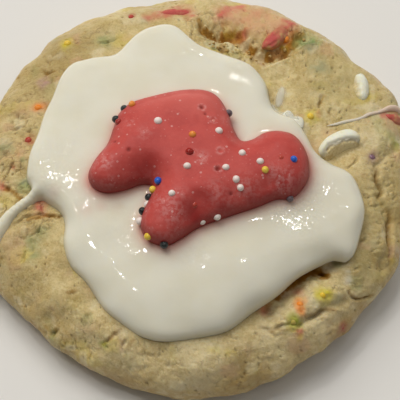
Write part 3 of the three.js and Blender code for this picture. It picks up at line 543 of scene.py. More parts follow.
def near_path(path, x, y, closed=False):
    """The nearest place on a path of straight pieces, for each point: its distance, its side
    (positive on the left), its share along, and the place itself."""
    path = np.asarray(path, float)[:, :2]
    start = path if closed else path[:-1]
    end = np.roll(path, -1, axis=0) if closed else path[1:]
    step = end - start
    square = (step ** 2).sum(1)

    def nearest(px, py):
        """The nearest place of every piece, and then the nearest of those."""
        t = np.clip(((px - start[:, 0]) * step[:, 0] + (py - start[:, 1]) * step[:, 1]) / square, 0, 1)
        nx = start[:, 0] + t * step[:, 0]
        ny = start[:, 1] + t * step[:, 1]
        away = (nx - px) ** 2 + (ny - py) ** 2
        pick = away.argmin(1)
        row = np.arange(len(pick))
        side = (step[pick, 0] * (py[:, 0] - start[pick, 1])
                - step[pick, 1] * (px[:, 0] - start[pick, 0]))
        return np.stack([
            np.sqrt(away[row, pick]), np.where(side < 0, -1.0, 1.0),
            (pick + t[row, pick]) / len(start), nx[row, pick], ny[row, pick],
        ])

    return in_parts(nearest, x, y)


def inside_outline(outline, x, y):
    """Whether each point lies inside: a ray to the right crosses the outline an odd number of
    times."""
    a, b = outline, np.roll(outline, -1, axis=0)
    rise = np.where(b[:, 1] == a[:, 1], 1e-12, b[:, 1] - a[:, 1])

    def odd(px, py):
        """Whether the ray crosses an odd number of sides."""
        spans = (a[:, 1] > py) != (b[:, 1] > py)
        cross = px < a[:, 0] + (b[:, 0] - a[:, 0]) * (py - a[:, 1]) / rise
        return (spans & cross).sum(1) % 2 == 1

    return in_parts(odd, x, y)


def outline_depth(outline, x, y):
    """Signed distance to an outline, positive inside, and the unit direction outward."""
    distance, _, _, nx, ny = near_path(outline, x, y, closed=True)
    sign = np.where(inside_outline(outline, x, y), 1.0, -1.0)
    scale = sign / np.maximum(distance, 1e-9)
    return sign * distance, (nx - x) * scale, (ny - y) * scale


def soft_depth(outline, x, y, depth, start, full):
    """Distance inside an outline without a crease along the middle: the inverse fourth power of
    the distance summed along the outline, scaled to match a straight edge, and mixed with the
    plain distance close to the edge."""
    a, b = outline, np.roll(outline, -1, axis=0)
    middle = (a + b) / 2
    length = np.hypot(*(b - a).T)

    def nearness(px, py):
        """The sum along the outline."""
        square = (middle[:, 0] - px) ** 2 + (middle[:, 1] - py) ** 2
        return (length / square ** 2).sum(1)

    soft = (2 * in_parts(nearness, x, y) / math.pi) ** (-1 / 3)
    return blend(depth, soft, smoothstep(depth, start, full))


def bell(x, y, place_x, place_y, reach):
    """1 at a place, falling away round it as a bell of the given reach."""
    return np.exp(-((x - place_x) ** 2 + (y - place_y) ** 2) / reach ** 2)


def path_bell(path, x, y, half):
    """1 on a path, falling away on both sides as a bell of the given half width."""
    return np.exp(-(near_path(path, x, y)[0] / half) ** 2)


def strongest(field, x, y, spots, uneven=1):
    """The greater of a field and the bells of all the spots: place, reach and strength."""
    for place_x, place_y, reach, strength in spots:
        field = np.maximum(field, strength * bell(x, y, place_x, place_y, reach) * uneven)
    return field


def broadest(x, y, bands):
    """The greatest of several soft bands: half width, strength and path."""
    field = np.zeros(len(x))
    for half, strength, path in bands:
        distance = near_path(path, x, y)[0]
        field = np.maximum(field, strength * (1 - smoothstep(distance, 0.5 * half, 1.3 * half)))
    return field


def wandered(x, y, seed, *waves):
    """Points moved by noise, so that a straight path drawn with them wanders: for each wave
    its size and how far it moves them. Each wave and axis has its own seed."""
    moved = [x, y]
    for axis in (0, 1):
        for number, (size, far) in enumerate(waves):
            own = seed + axis * len(waves) + number
            moved[axis] = moved[axis] + far * flat_noise(x, y, size, own)
    return moved


def round_rise(depth, width):
    """Height from 0 to 1 of a rounded edge: a quarter circle over the given width."""
    short = 1 - np.clip(depth / width, 0, 1)
    return np.sqrt(1 - short * short)


def outline_lattice(outline, cell, band):
    """A triangle lattice cut along an outline: plan points, their depth and the triangles.

    Rows of points are half a cell apart in turn. Points within a quarter cell of the outline
    are pushed off it, triangles that cross it are cut, and the cuts are set on it. Points
    inside the band are drawn towards the outline by a cosine, so that a rounded edge gets even
    facets."""
    low = outline.min(0) - cell
    row = cell * math.sqrt(3) / 2
    columns = int(np.ceil((outline[:, 0].max() - low[0]) / cell)) + 2
    rows = int(np.ceil((outline[:, 1].max() - low[1]) / row)) + 2
    j, i = np.meshgrid(np.arange(rows), np.arange(columns), indexing="ij")
    x = (low[0] + (i + (j % 2) / 2) * cell).ravel()
    y = (low[1] + j * row).ravel()
    depth, out_x, out_y = outline_depth(outline, x, y)
    least = 0.25 * cell
    shift = np.where(np.abs(depth) < least, depth - np.where(depth > 0, least, -least), 0)
    x, y, depth = x + out_x * shift, y + out_y * shift, depth - shift

    a = (j[:-1, :-1] * columns + i[:-1, :-1]).ravel()
    b, c, d = a + 1, a + columns, a + columns + 1
    even = (j[:-1, :-1] % 2 == 0).ravel()[:, None]
    triangles = np.concatenate([
        np.where(even, np.stack([a, b, c], 1), np.stack([a, b, d], 1)),
        np.where(even, np.stack([b, d, c], 1), np.stack([a, d, c], 1)),
    ])
    inner = depth[triangles] > 0
    count = inner.sum(1)
    whole = triangles[count == 3]

    def turned(chosen, odd_is_inner):
        """Triangles with their odd corner first."""
        corners = triangles[chosen]
        odd = (inner[chosen] == odd_is_inner).argmax(1)
        order = (odd[:, None] + np.arange(3)) % 3
        return np.take_along_axis(corners, order, 1)

    one, two = turned(count == 1, True), turned(count == 2, False)
    crossings = np.concatenate([one[:, [0, 1]], one[:, [0, 2]], two[:, [0, 1]], two[:, [0, 2]]])
    crossings = np.sort(crossings, axis=1)
    unique, number = np.unique(crossings[:, 0] * len(x) + crossings[:, 1], return_inverse=True)
    p, q = unique // len(x), unique % len(x)
    share = depth[p] / (depth[p] - depth[q])
    cut_x, cut_y = blend(x[p], x[q], share), blend(y[p], y[q], share)
    off, off_x, off_y = outline_depth(outline, cut_x, cut_y)
    cut_x, cut_y = cut_x + off_x * off, cut_y + off_y * off
    number = number.ravel() + len(x)
    n1, n2 = len(one), len(two)
    one_b, one_c = number[:n1], number[n1:2 * n1]
    two_b, two_c = number[2 * n1:2 * n1 + n2], number[2 * n1 + n2:]
    faces = np.concatenate([
        whole,
        np.stack([one[:, 0], one_b, one_c], 1),
        np.stack([two[:, 1], two[:, 2], two_c], 1),
        np.stack([two[:, 1], two_c, two_b], 1),
    ])
    x = np.concatenate([x, cut_x])
    y = np.concatenate([y, cut_y])
    depth = np.concatenate([depth, np.zeros(len(cut_x))])
    used, faces = np.unique(faces, return_inverse=True)
    x, y, depth, faces = x[used], y[used], depth[used], faces.reshape(-1, 3)

    near = (depth > 0) & (depth < band)
    real, out_x, out_y = outline_depth(outline, x[near], y[near])
    drawn = band * (1 - np.cos(math.pi / 2 * real / band))
    x[near] += out_x * (real - drawn)
    y[near] += out_y * (real - drawn)
    depth[near] = drawn
    return x, y, depth, faces


def plate(depth, faces, top, bottom):
    """A closed skin from an upper and a lower surface that meet where the depth is 0."""
    under = np.arange(len(depth))
    inner = depth > 0
    under[inner] = len(depth) + np.arange(inner.sum())
    points = np.concatenate([top, bottom[inner]])
    return points, np.concatenate([faces, under[faces[:, [0, 2, 1]]]])


def ring_skin(top, rings, bottom):
    """A closed skin over rings of points (rings, sides, 3), from the top pole to the bottom one.
    Each cell between two rings is two triangles, and each pole has a fan."""
    count, sides = rings.shape[:2]
    points = np.concatenate([np.reshape(top, (1, 3)), rings.reshape(-1, 3), np.reshape(bottom, (1, 3))])
    side = np.arange(sides)
    after = (side + 1) % sides
    first = 1 + np.arange(count - 1)[:, None] * sides
    a, b = (first + side).ravel(), (first + after).ravel()
    c, d = a + sides, b + sides
    last = len(points) - 1
    final = 1 + (count - 1) * sides
    faces = np.concatenate([
        np.stack([np.zeros(sides, int), 1 + side, 1 + after], 1),
        np.stack([a, c, d], 1),
        np.stack([a, d, b], 1),
        np.stack([np.full(sides, last), final + after, final + side], 1),
    ])
    return points, faces


# ================ dough surface
def dough_profile():
    """Sheet radius, radius and level down the cookie: a dome whose radius is a power of the
    sine and level a cosine, then a quarter ellipse tucked under to the flat underside. The
    sheet radius is the plain radius on the flat of the dome and the length of the profile
    beyond it."""
    dome = np.linspace(0, math.pi / 2, 401)
    tuck = np.linspace(0, math.pi / 2, 101)[1:]
    radius = COOKIE_RADIUS * np.concatenate([
        np.sin(dome) ** (2 / DOME_POWER), FLAT_SHARE + (1 - FLAT_SHARE) * np.cos(tuck)])
    level = np.concatenate([
        WIDEST_LEVEL + (COOKIE_HEIGHT - WIDEST_LEVEL) * np.cos(dome),
        WIDEST_LEVEL * (1 - np.sin(tuck))])
    steps = np.hypot(np.diff(radius), np.diff(level))
    first = int(np.argmax(radius >= PLANAR_RADIUS))
    sheet = radius.copy()
    sheet[first:] = sheet[first - 1] + np.cumsum(steps[first - 1:])
    return sheet, radius, level


SHEET, RADIUS, LEVEL = dough_profile()
SHEET_END = SHEET[-1]


def dough_point(x, y, lift=0.0):
    """A point of the sheet carried onto the smooth dough and lifted along its normal. The
    radius grows by the rim's swell at that angle, more and more towards the rim."""
    sheet = np.hypot(x, y)
    angle = np.arctan2(y, x)
    radius = np.interp(sheet, SHEET, RADIUS)
    level = np.interp(sheet, SHEET, LEVEL)
    before, after = np.maximum(sheet - 0.1, 0), np.minimum(sheet + 0.1, SHEET_END)
    slope = np.arctan2(np.interp(after, SHEET, LEVEL) - np.interp(before, SHEET, LEVEL),
                       np.interp(after, SHEET, RADIUS) - np.interp(before, SHEET, RADIUS))
    turn = (angle / (2 * math.pi)) % 1 * len(RIM_SWELL)
    swell = spline(RIM_SWELL[:, None], np.atleast_1d(turn), True)[:, 0].reshape(np.shape(x))
    out = radius + swell * smoothstep(sheet, 10, PLANAR_RADIUS) - lift * np.sin(slope)
    return np.stack([out * np.cos(angle), out * np.sin(angle), level + lift * np.cos(slope)], -1)


def rim_puff(x, y):
    """A bell-shaped puff near the rim."""
    off = (np.hypot(x, y) - RIM_PUFF["radius"]) / RIM_PUFF["width"]
    return RIM_PUFF["height"] * np.exp(-off * off)


def soft_relief(x, y):
    """Low waves that fade towards the middle, plus the puff near the rim. The icing lies over
    both."""
    lumps = sum(height * np.sin(wave_x * x + wave_y * y + phase)
                for height, wave_x, wave_y, phase in DOUGH_LUMPS)
    return lumps * smoothstep(np.hypot(x, y), *LUMPS_FADE) + rim_puff(x, y)


def tuck_fade(sheet):
    """1 on the open dough, falling to 0 before the flat underside."""
    return 1 - smoothstep(sheet, SHEET_END - 5, SHEET_END - 1)


def crater_share(x, y):
    """How deep the crater is, from 0 to 1: a steep near lip, a long slope beyond it, and
    shallow ends."""
    distance, side, along, _, _ = near_path(CRATER["path"], x, y)
    beyond = side * distance
    lip = smoothstep(beyond, -CRATER["lip"], CRATER["lip"])
    slope = 1 - smoothstep(beyond, CRATER["lip"], CRATER["reach"])
    return lip * slope * np.sin(math.pi * np.clip(along, 0.0005, 0.9995)) ** 0.75


def main_relief(x, y):
    """Height of the dough over the smooth profile as the solid has it, which is soft relief
    less the broad splits and the crater, and the depth of the splits."""
    groove = np.zeros(len(x))
    wx, wy = wandered(x, y, 16, (1.9, 0.5), (0.8, 0.2))
    for depth, half, path in GROOVES:
        groove = np.maximum(groove, depth * path_bell(path, wx, wy, half))
    return soft_relief(x, y) - groove - CRATER["depth"] * crater_share(x, y), groove


def crack_relief(x, y):
    """Depth of the fine cracks and how dark they are: a bell across each path, whose course
    and width wander, thinning out at its ends, with a low swelling along both sides."""
    wx, wy = wandered(x, y, 11, (1.5, 0.4), (0.6, 0.16))
    wide = 1 + 0.5 * flat_noise(x, y, 1.1, 15)
    broken = smoothstep(flat_noise(x, y, 0.9, 20), -0.75, 0.0)
    relief, dark = np.zeros((2, len(x)))
    for depth, half, path in CRACKS:
        distance, _, along, _, _ = near_path(path, wx, wy)
        ends = np.sin(math.pi * np.clip(along, 0.02, 0.98)) ** 0.35
        width = half * wide
        cut = np.exp(-(distance / width) ** 2) * ends * (0.35 + 0.65 * broken)
        ridge = np.exp(-((distance - 2.6 * width) / (1.4 * width)) ** 2) * ends
        relief += 0.06 * ridge
        relief = np.minimum(relief, relief - depth * cut)
        dark = np.maximum(dark, cut * min(1, depth + 0.1))
    return relief, dark


def pit_relief(x, y):
    """Depth and toasting of the larger pits: a bell over a turned ellipse, its edge made
    ragged by noise."""
    ragged = 1 + 0.5 * flat_noise(x, y, 0.8, 21) + 0.25 * flat_noise(x, y, 0.4, 22)
    relief, toast = np.zeros((2, len(x)))
    for px, py, long, short, turn, depth, browned in PITS:
        angle = math.radians(turn)
        u = ((x - px) * math.cos(angle) + (y - py) * math.sin(angle)) / long
        v = (-(x - px) * math.sin(angle) + (y - py) * math.cos(angle)) / short
        bowl = np.exp(-((u * u + v * v) * ragged) ** 1.3)
        relief = np.minimum(relief, -depth * bowl)
        toast = np.maximum(toast, browned * bowl)
    return relief, toast


def pore_relief(x, y, size, share, least, most, seed):
    """Small round pores: one in each cell at the most, in the given share of the cells, with a
    radius from least to most. Each is a smooth bowl."""
    distance, _, chosen = nearest_seed(x, y, size, seed)
    radius = blend(least, most, (chosen / share) ** 2)
    bowl = np.where(chosen < share, np.clip(1 - (distance / radius) ** 2, 0, 1), 0)
    return bowl * bowl * (3 - 2 * bowl)


def browned_share(x, y):
    """How browned the streaks are, from 0 to 1: a bell across each path, cut at a level that
    noise makes ragged."""
    wx, wy = wandered(x, y, 23, (1.3, 0.3))
    ragged = 0.34 * flat_noise(x, y, 0.9, 25) + 0.3 * flat_noise(x, y, 0.45, 26)
    brown = np.zeros(len(x))
    for half, strength, path in BROWNED:
        level = path_bell(path, wx, wy, half) + ragged
        brown = np.maximum(brown, strength * smoothstep(level, 0.25, 0.75))
    return brown


def crease_relief(x, y, rough):
    """Short angular creases, from 0 to 1: valleys between the cells of two sizes round
    jittered points, broken up by patches of noise, and only where the crust is rough."""
    wx, wy = wandered(x, y, 36, (0.9, 0.35))
    _, wide, _ = nearest_seed(wx, wy, 2.6, 38)
    _, small, _ = nearest_seed(wx, wy, 1.3, 40)
    patch = flat_noise(x, y, 2.2, 39) + 0.9 * rough - 0.85
    fine_patch = flat_noise(x, y, 1.3, 60) + 0.8 * rough - 0.8
    return np.maximum(np.exp(-(wide / 0.2) ** 2) * smoothstep(patch, -0.1, 0.3),
                      0.7 * np.exp(-(small / 0.16) ** 2) * smoothstep(fine_patch, -0.1, 0.3))


def crumb_relief(x, y, height, rough, broken):
    """The fine uneven crust: five sizes of noise, each lower than the last, little rounded
    grains with valleys between them, and sharper lumps where the crumb is broken open."""
    even = (2.4 * flat_noise(x, y, 5.2, 30) + 1.6 * flat_noise(x, y, 2.6, 31)
            + 0.9 * flat_noise(x, y, 1.4, 32) + 0.55 * flat_noise(x, y, 0.8, 33)
            + 0.35 * flat_noise(x, y, 0.5, 34))
    distance, _, chosen = nearest_seed(x, y, 0.8, 35)
    grain = np.clip(1 - (distance / 0.55) ** 2, 0, 1) * (0.3 + 0.7 * chosen)
    lump = 1 - 2 * np.abs(flat_noise(x, y, 1.2, 61))
    small = 1.2 * flat_noise(x, y, 0.6, 62) - 0.8 * np.abs(flat_noise(x, y, 0.38, 63))
    return (height * (even * (1 + 0.8 * rough) + grain * (0.5 + 1.2 * rough))
            + broken * (0.35 * lump + 0.45 * small + 0.4 * grain))


def tanned_share(x, y):
    """How tanned the crust is, from 0 to 1: broad bells, made uneven by noise."""
    tan = sum(strength * bell(x, y, px, py, reach) for px, py, reach, strength in TANNED)
    return np.clip(tan * (1 + 0.35 * flat_noise(x, y, 3.1, 74) + 0.25 * flat_noise(x, y, 1.2, 76)), 0, 1)


def dye_fields(x, y):
    """Colour and amount of the dye that ran from baked-in pieces: bells round the spots and
    along the streaks, with ragged edges. Where they meet, the stronger dye tells."""
    wx, wy = wandered(x, y, 41, (1.8, 0.5), (0.7, 0.25))
    patchy = np.clip(0.85 + 0.5 * flat_noise(x, y, 0.8, 45), 0, 1.2)
    colour = np.zeros((len(x), 3))
    total = np.zeros(len(x))
    clear = np.ones(len(x))
    fields = [(np.hypot(wx - px, wy - py) / radius, dye, strength)
              for dye, spots in SPOTS.items() for px, py, radius, strength in spots]
    fields += [(near_path(path, wx, wy)[0] / half, dye, strength)
               for half, dye, strength, path in STREAKS]
    amounts = [(np.clip(strength * np.exp(-reach ** 2) * patchy, 0, 1), dye)
               for reach, dye, strength in fields]
    amounts += [(strength * smoothstep(flat_noise(wx, wy, size, 46 + number), 0.35, 0.75), dye)
                for number, (size, dye, strength) in enumerate(TINTS)]
    for amount, dye in amounts:
        colour += amount[:, None] ** 2 * np.array(linear(dye))
        total += amount ** 2
        clear *= 1 - amount
    return colour / np.maximum(total, 1e-6)[:, None], 1 - clear


# ================ icing surface
def icing_knots():
    """The pool's outline with the drip let into it: down the outer edge, round its tip and back
    along the inner edge. The edges lie half a width either side of the drip's centre line."""
    rows = np.array(DRIP)
    ahead = np.gradient(rows[:, :2], axis=0)
    ahead /= np.hypot(*ahead.T)[:, None]
    left = np.stack([-ahead[:, 1], ahead[:, 0]], -1) * rows[:, 2:]
    outer, inner = rows[:, :2] - left, rows[:, :2] + left
    tip = rows[-1:, :2] + ahead[-1:] * rows[-1, 2]
    return np.concatenate([ICING_OUTLINE[:-1], outer, tip, inner[::-1]])


def icing_edge(y, edge_round):
    """Width of the icing's rounded edge: the plain one, and more at the front, where the pool
    thins out slowly."""
    return blend(edge_round, ICING_FRONT_ROUND, smoothstep(-y, 9, 22))


def icing_surfaces(thickness, edge_round, meniscus):
    """Top and bottom of the icing: a rounded edge rises to an even thickness over the soft
    relief of the dough. It leans a little, has low waves and folds, thins to the drip's
    thickness beyond the pool, climbs in a small meniscus at the animal cookie and dips to a
    pocket below it. With them come the fields for its material."""
    outline = even_curve(icing_knots(), ICING_SIDES, closed=True)
    pool = even_curve(ICING_OUTLINE, 300, closed=True)
    x, y, depth, faces = outline_lattice(outline, ICING_CELL, 1.6)
    off_pool = -outline_depth(pool, x, y)[0]
    along_drip = smoothstep(off_pool, -0.5, 2.2)
    inward = soft_depth(outline, x, y, depth, 0.35, 1.2)
    rise = round_rise(inward, blend(icing_edge(y, edge_round), DRIP_ROUND, along_drip))
    waves = sum(height * flat_noise(x, y, length, 51 + number)
                for number, (height, length) in enumerate(ICING_WAVES))
    for fold_depth, half, path in ICING_FOLDS:
        waves -= fold_depth * path_bell(path, x, y, half)
    body = thickness + ICING_LEAN[0] * x + ICING_LEAN[1] * y
    body = blend(body, DRIP_THICKNESS, along_drip)
    from_animal = -outline_depth(ANIMAL_CURVE, x, y)[0]
    outside = np.maximum(from_animal, 0)
    climb = meniscus * np.exp(-outside / 0.8)
    floor = soft_relief(x, y)
    edge = smoothstep(depth, 0, 0.7)
    puff = rim_puff(x, y)
    level = blend(floor, ICING_FOLLOWS * (floor - puff) + puff, smoothstep(depth, 0, 4))
    lift = level + blend(-ICING_SINK, ICING_GAP, edge)
    lift = lift + rise * (body + (waves + climb) * (1 - along_drip))
    top = dough_point(x, y, lift)
    pocket = smoothstep(-from_animal, 0.25, 1.2)
    top[:, 2] = blend(top[:, 2], ANIMAL_FLOOR - 0.15, pocket)
    bottom = dough_point(x, y, floor - ICING_SINK)
    points, faces = plate(depth, faces, top, bottom)
    fields = {
        "bleed": strongest(0.7 * np.exp(-outside / 0.85), x, y, ICING_SMEARS),
        "thin": 1 - smoothstep(depth, 0, 1.3),
        "rippled": strongest(0.12, x, y, ICING_RIPPLES),
    }
    return points, faces, {name: np.concatenate([field, field[depth > 0]])
                           for name, field in fields.items()}


# ================ animal cookie surface
ANIMAL_CURVE = even_curve(ANIMAL_OUTLINE, ANIMAL_SIDES, closed=True)


def animal_top(x, y, depth):
    """Level of the upper side of the animal cookie: a quarter ellipse over the soft depth, with
    low lumps, and a small rimmed dent for each lost sprinkle."""
    inward = soft_depth(ANIMAL_CURVE, x, y, depth, 0.8, 2.0)
    broader = 1 + sum(more * bell(x, y, px, py, reach) for px, py, reach, more in ANIMAL_SLOPES)
    rise = round_rise(inward, ANIMAL_ROUND * broader)
    fade = smoothstep(depth, 0.2, 2.0)
    lumps = (0.16 * flat_noise(x, y, 5.2, 61) + 0.06 * flat_noise(x, y, 2.2, 62)
             + 0.03 * flat_noise(x, y, 1.0, 63))
    for px, py in LOST_SPRINKLES:
        distance = np.hypot(x - px, y - py)
        lumps += 0.07 * np.exp(-((distance - 0.7) / 0.25) ** 2)
        lumps -= 0.18 * np.exp(-(distance / 0.45) ** 2)
    for px, py, radius in COATING_PITS:
        lumps -= 0.3 * bell(x, y, px, py, radius)
    for dent, radius, path in ANIMAL_DENTS:
        lumps -= dent * path_bell(path, x, y, radius)
    lumps -= ANIMAL_LEAN * np.maximum(0, y - 1)
    return (ANIMAL_FLOOR + ANIMAL_WAIST + (ANIMAL_THICKNESS - ANIMAL_WAIST) * rise
            + fade * lumps)


def animal_surfaces():
    """Top and bottom of the animal cookie: the pillow above its waist, and below it a foot
    whose edge is a small quarter ellipse down to the flat underside."""
    x, y, depth, faces = outline_lattice(ANIMAL_CURVE, ANIMAL_CELL, ANIMAL_FOOT_ROUND)
    top = np.stack([x, y, animal_top(x, y, depth)], -1)
    fall = ANIMAL_WAIST * round_rise(depth, ANIMAL_FOOT_ROUND)
    bottom = np.stack([x, y, ANIMAL_FLOOR + ANIMAL_WAIST - fall], -1)
    edge = depth == 0
    top[edge] = bottom[edge]
    return plate(depth, faces, top, bottom)


# ================ small surfaces
def ball_points(around, bands):
    """A ball as one list of directions, poles first and last, with its triangles."""
    u = np.arange(around) / around * 2 * math.pi
    v = np.arange(1, bands) / bands * math.pi
    v, u = np.meshgrid(v, u, indexing="ij")
    rings = np.stack([np.sin(v) * np.cos(u), np.sin(v) * np.sin(u), np.cos(v)], -1)
    return ring_skin((0, 0, 1), rings, (0, 0, -1))


def many_balls(centres, radii, around, bands, rough, seed):
    """Balls joined as one mesh: each is the same grid of directions, times its own radii along
    x, y and z and its own low noise, moved to its centre."""
    directions, faces = ball_points(around, bands)
    centres = np.asarray(centres, float)[:, None, :]
    radii = np.asarray(radii, float)[:, None, :]
    places = centres + directions[None] * radii
    swell = noise(places.reshape(-1, 3), float(radii.mean()) * 1.1, seed)
    places = centres + directions[None] * radii * (1 + rough * swell.reshape(len(centres), -1, 1))
    step = np.arange(len(centres))[:, None, None] * len(directions)
    return places.reshape(-1, 3), (faces[None] + step).reshape(-1, 3)


def lying_ellipsoid(place, turn, half, sink, power, rough, seed):
    """A rounded piece lying in the dough: a ball with its half sizes along the turned sheet
    direction, across it and along the dough's normal. A power under 1 on the directions makes
    it blunter, and low noise uneven."""
    x, y = np.array([place[0]]), np.array([place[1]])
    angle = math.radians(turn)
    origin = dough_point(x, y)[0]
    centre = dough_point(x, y, soft_relief(x, y) - sink)[0]
    normal = dough_point(x, y, 1.0)[0] - origin
    normal /= np.linalg.norm(normal)
    ahead = dough_point(x + math.cos(angle), y + math.sin(angle))[0] - origin
    side = np.cross(normal, ahead)
    side /= np.linalg.norm(side)
    along = np.cross(side, normal)
    directions, faces = ball_points(132, 76)
    blunt = np.sign(directions) * np.abs(directions) ** power
    uneven = 1 + rough * noise(directions * 2 + seed, 0.9, seed)[:, None]
    local = blunt * uneven * np.array(half)
    return centre + local @ np.stack([along, side, normal]), faces


def bead_along(knots, radii, count, around, lift):
    """A soft string lying on the dough: an oval section carried along the curve through its
    knots, flattened below, with a radius that runs through the given ones and rounds off at
    both ends."""
    rows = np.column_stack([np.asarray(knots, float), radii])
    line = even_curve(rows, count)
    share = np.linspace(0, 1, count)
    cap = np.sqrt(np.clip(1 - (2 * share - 1) ** 10, 0.02, 1))
    radius = line[:, 2] * cap
    ahead = np.gradient(line[:, :2], axis=0)
    ahead /= np.hypot(*ahead.T)[:, None]
    angle = np.arange(around) / around * 2 * math.pi
    offset = radius[:, None] * np.cos(angle)
    rise = radius[:, None] * np.sin(angle) * np.where(np.sin(angle) > 0, 1.0, 0.35) + lift
    x = line[:, :1] - ahead[:, 1:] * offset
    y = line[:, 1:2] + ahead[:, :1] * offset
    rings = dough_point(x.ravel(), y.ravel(), main_relief(x.ravel(), y.ravel())[0] + rise.ravel())
    rings = rings.reshape(count, around, 3)
    return ring_skin(rings[0].mean(0), rings[:, ::-1], rings[-1].mean(0))


def draped_film(knots, cell, thickness, seed):
    """A thin patch of icing over the dough: an outline through its knots, with a low rounded
    edge and a slightly wavy top."""
    outline = even_curve(knots, 160, closed=True)
    x, y, depth, faces = outline_lattice(outline, cell, 0.5)
    relief = main_relief(x, y)[0]
    rise = round_rise(depth, 0.9) * (1 + 0.3 * flat_noise(x, y, 1.1, seed))
    top = dough_point(x, y, relief + thickness * rise)
    bottom = dough_point(x, y, relief - 0.15)
    top[depth == 0] = bottom[depth == 0]
    points, faces = plate(depth, faces, top, bottom)
    inner = depth > 0
    body = smoothstep(depth, 0.0, 1.1)
    return points, faces, np.concatenate([body, body[inner]])


# ================ mesh helpers
def linear(colour):
    """Linear red, green and blue of a colour given in 0 to 255 as it looks on a screen."""
    value = np.asarray(colour, float) / 255
    return tuple(np.where(value <= 0.04045, value / 12.92, ((value + 0.055) / 1.055) ** 2.4))


def make_piece(name, points, faces, material, replaced=()):
    """An object from points in millimetres and triangles, shaded smooth, riding on the body."""
    mesh = bpy.data.meshes.new(name)
    mesh.vertices.add(len(points))
    mesh.vertices.foreach_set("co", (np.asarray(points) * MM).astype(np.float32).ravel())
    mesh.loops.add(len(faces) * 3)
    mesh.loops.foreach_set("vertex_index", np.asarray(faces, np.int32).ravel())
    mesh.polygons.add(len(faces))
    mesh.polygons.foreach_set("loop_start", np.arange(0, len(faces) * 3, 3, dtype=np.int32))
    mesh.polygons.foreach_set("use_smooth", np.ones(len(faces), bool))
    mesh.update(calc_edges=True)
    if mesh.validate():
        raise RuntimeError(f"{name}: the surface has faulty faces")
    piece = bpy.data.objects.new(name, mesh)
    bpy.context.scene.collection.objects.link(piece)
    mesh.materials.append(material)
    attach(piece, BODY)
    if replaced:
        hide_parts(*replaced)
    return piece


def set_fields(piece, **fields):
    """Named numbers for a piece's material: one for each point, or one for them all."""
    for name, values in fields.items():
        made = piece.data.attributes.new(name, "FLOAT", "POINT")
        made.data.foreach_set("value", np.broadcast_to(values, len(made.data)).astype(np.float32))


def set_colours(piece, name, colours):
    """A named colour for a piece's material: one for each point, or one for them all."""
    made = piece.data.attributes.new(name, "FLOAT_COLOR", "POINT")
    rows = np.ones((len(made.data), 4), np.float32)
    rows[:, :3] = colours
    made.data.foreach_set("color", rows.ravel())


# ================ material helpers
def rgba(colour):
    """A screen colour as a shader's four linear numbers."""
    return (*linear(colour), 1.0)


class NodeKit:
    """Adds nodes to one shader tree. An input takes a value or the socket of another node."""

    def __init__(self, tree):
        """A kit for the tree."""
        self.tree = tree

    def put(self, socket, value):
        """Gives an input its value, or joins it to a socket."""
        if isinstance(value, bpy.types.NodeSocket):
            self.tree.links.new(value, socket)
        else:
            socket.default_value = value

    def node(self, kind, inputs=(), **settings):
        """A node with its settings and inputs."""
        node = self.tree.nodes.new(f"ShaderNode{kind}")
        for name, value in settings.items():
            setattr(node, name, value)
        for name, value in dict(inputs).items():
            self.put(node.inputs[name], value)
        return node

    def math(self, operation, first, second=0.0):
        """The result of one operation on two numbers."""
        return self.node("Math", {0: first, 1: second}, operation=operation).outputs[0]

    def times(self, first, second):
        """The product of two numbers."""
        return self.math("MULTIPLY", first, second)

    def ramp(self, value, low, high, out_low=0.0, out_high=1.0):
        """A number carried from one range to another, smoothly, and held at its ends."""
        return self.node("MapRange", {
            "Value": value, "From Min": low, "From Max": high, "To Min": out_low, "To Max": out_high,
        }, interpolation_type="SMOOTHSTEP").outputs[0]

    def cloud(self, place, scale, detail, roughness=0.5):
        """Noise from 0 to 1, with the scale in cells a metre."""
        return self.node("TexNoise", {
            "Vector": place, "Scale": scale, "Detail": detail, "Roughness": roughness}).outputs[0]

    def mix(self, factor, low, high):
        """The mix of two colours, each a socket or a screen colour."""
        low, high = (value if isinstance(value, bpy.types.NodeSocket) else rgba(value)
                     for value in (low, high))
        return self.node("Mix", {0: factor, 6: low, 7: high}, data_type="RGBA").outputs[2]


def new_group(name, sizes, results):
    """An empty shader group that takes a place and the named sizes, in metres or as shares, and
    gives the named results: its kit, what it is given, and its outputs."""
    tree = bpy.data.node_groups.new(name, "ShaderNodeTree")
    tree.interface.new_socket("Place", in_out="INPUT", socket_type="NodeSocketVector")
    for socket, default in sizes.items():
        made = tree.interface.new_socket(socket, in_out="INPUT", socket_type="NodeSocketFloat")
        made.default_value = default
    for socket in results:
        tree.interface.new_socket(socket, in_out="OUTPUT", socket_type="NodeSocketFloat")
    given = tree.nodes.new("NodeGroupInput").outputs
    return NodeKit(tree), given, tree.nodes.new("NodeGroupOutput").inputs


def make_grain_group():
    """Grain: two sizes of noise, as a shade round 0.5, and the finer one as a height."""
    kit, given, out = new_group("Baked grain", {"Grain Size": 0.0004}, ["Shade", "Height"])
    scale = kit.math("DIVIDE", 1.0, given["Grain Size"])
    fine = kit.cloud(given["Place"], scale, 3.0, 0.6)
    broad = kit.cloud(given["Place"], kit.times(scale, 0.12), 2.0)
    kit.put(out["Shade"], kit.math("ADD", kit.times(fine, 0.55), kit.times(broad, 0.45)))
    kit.put(out["Height"], fine)


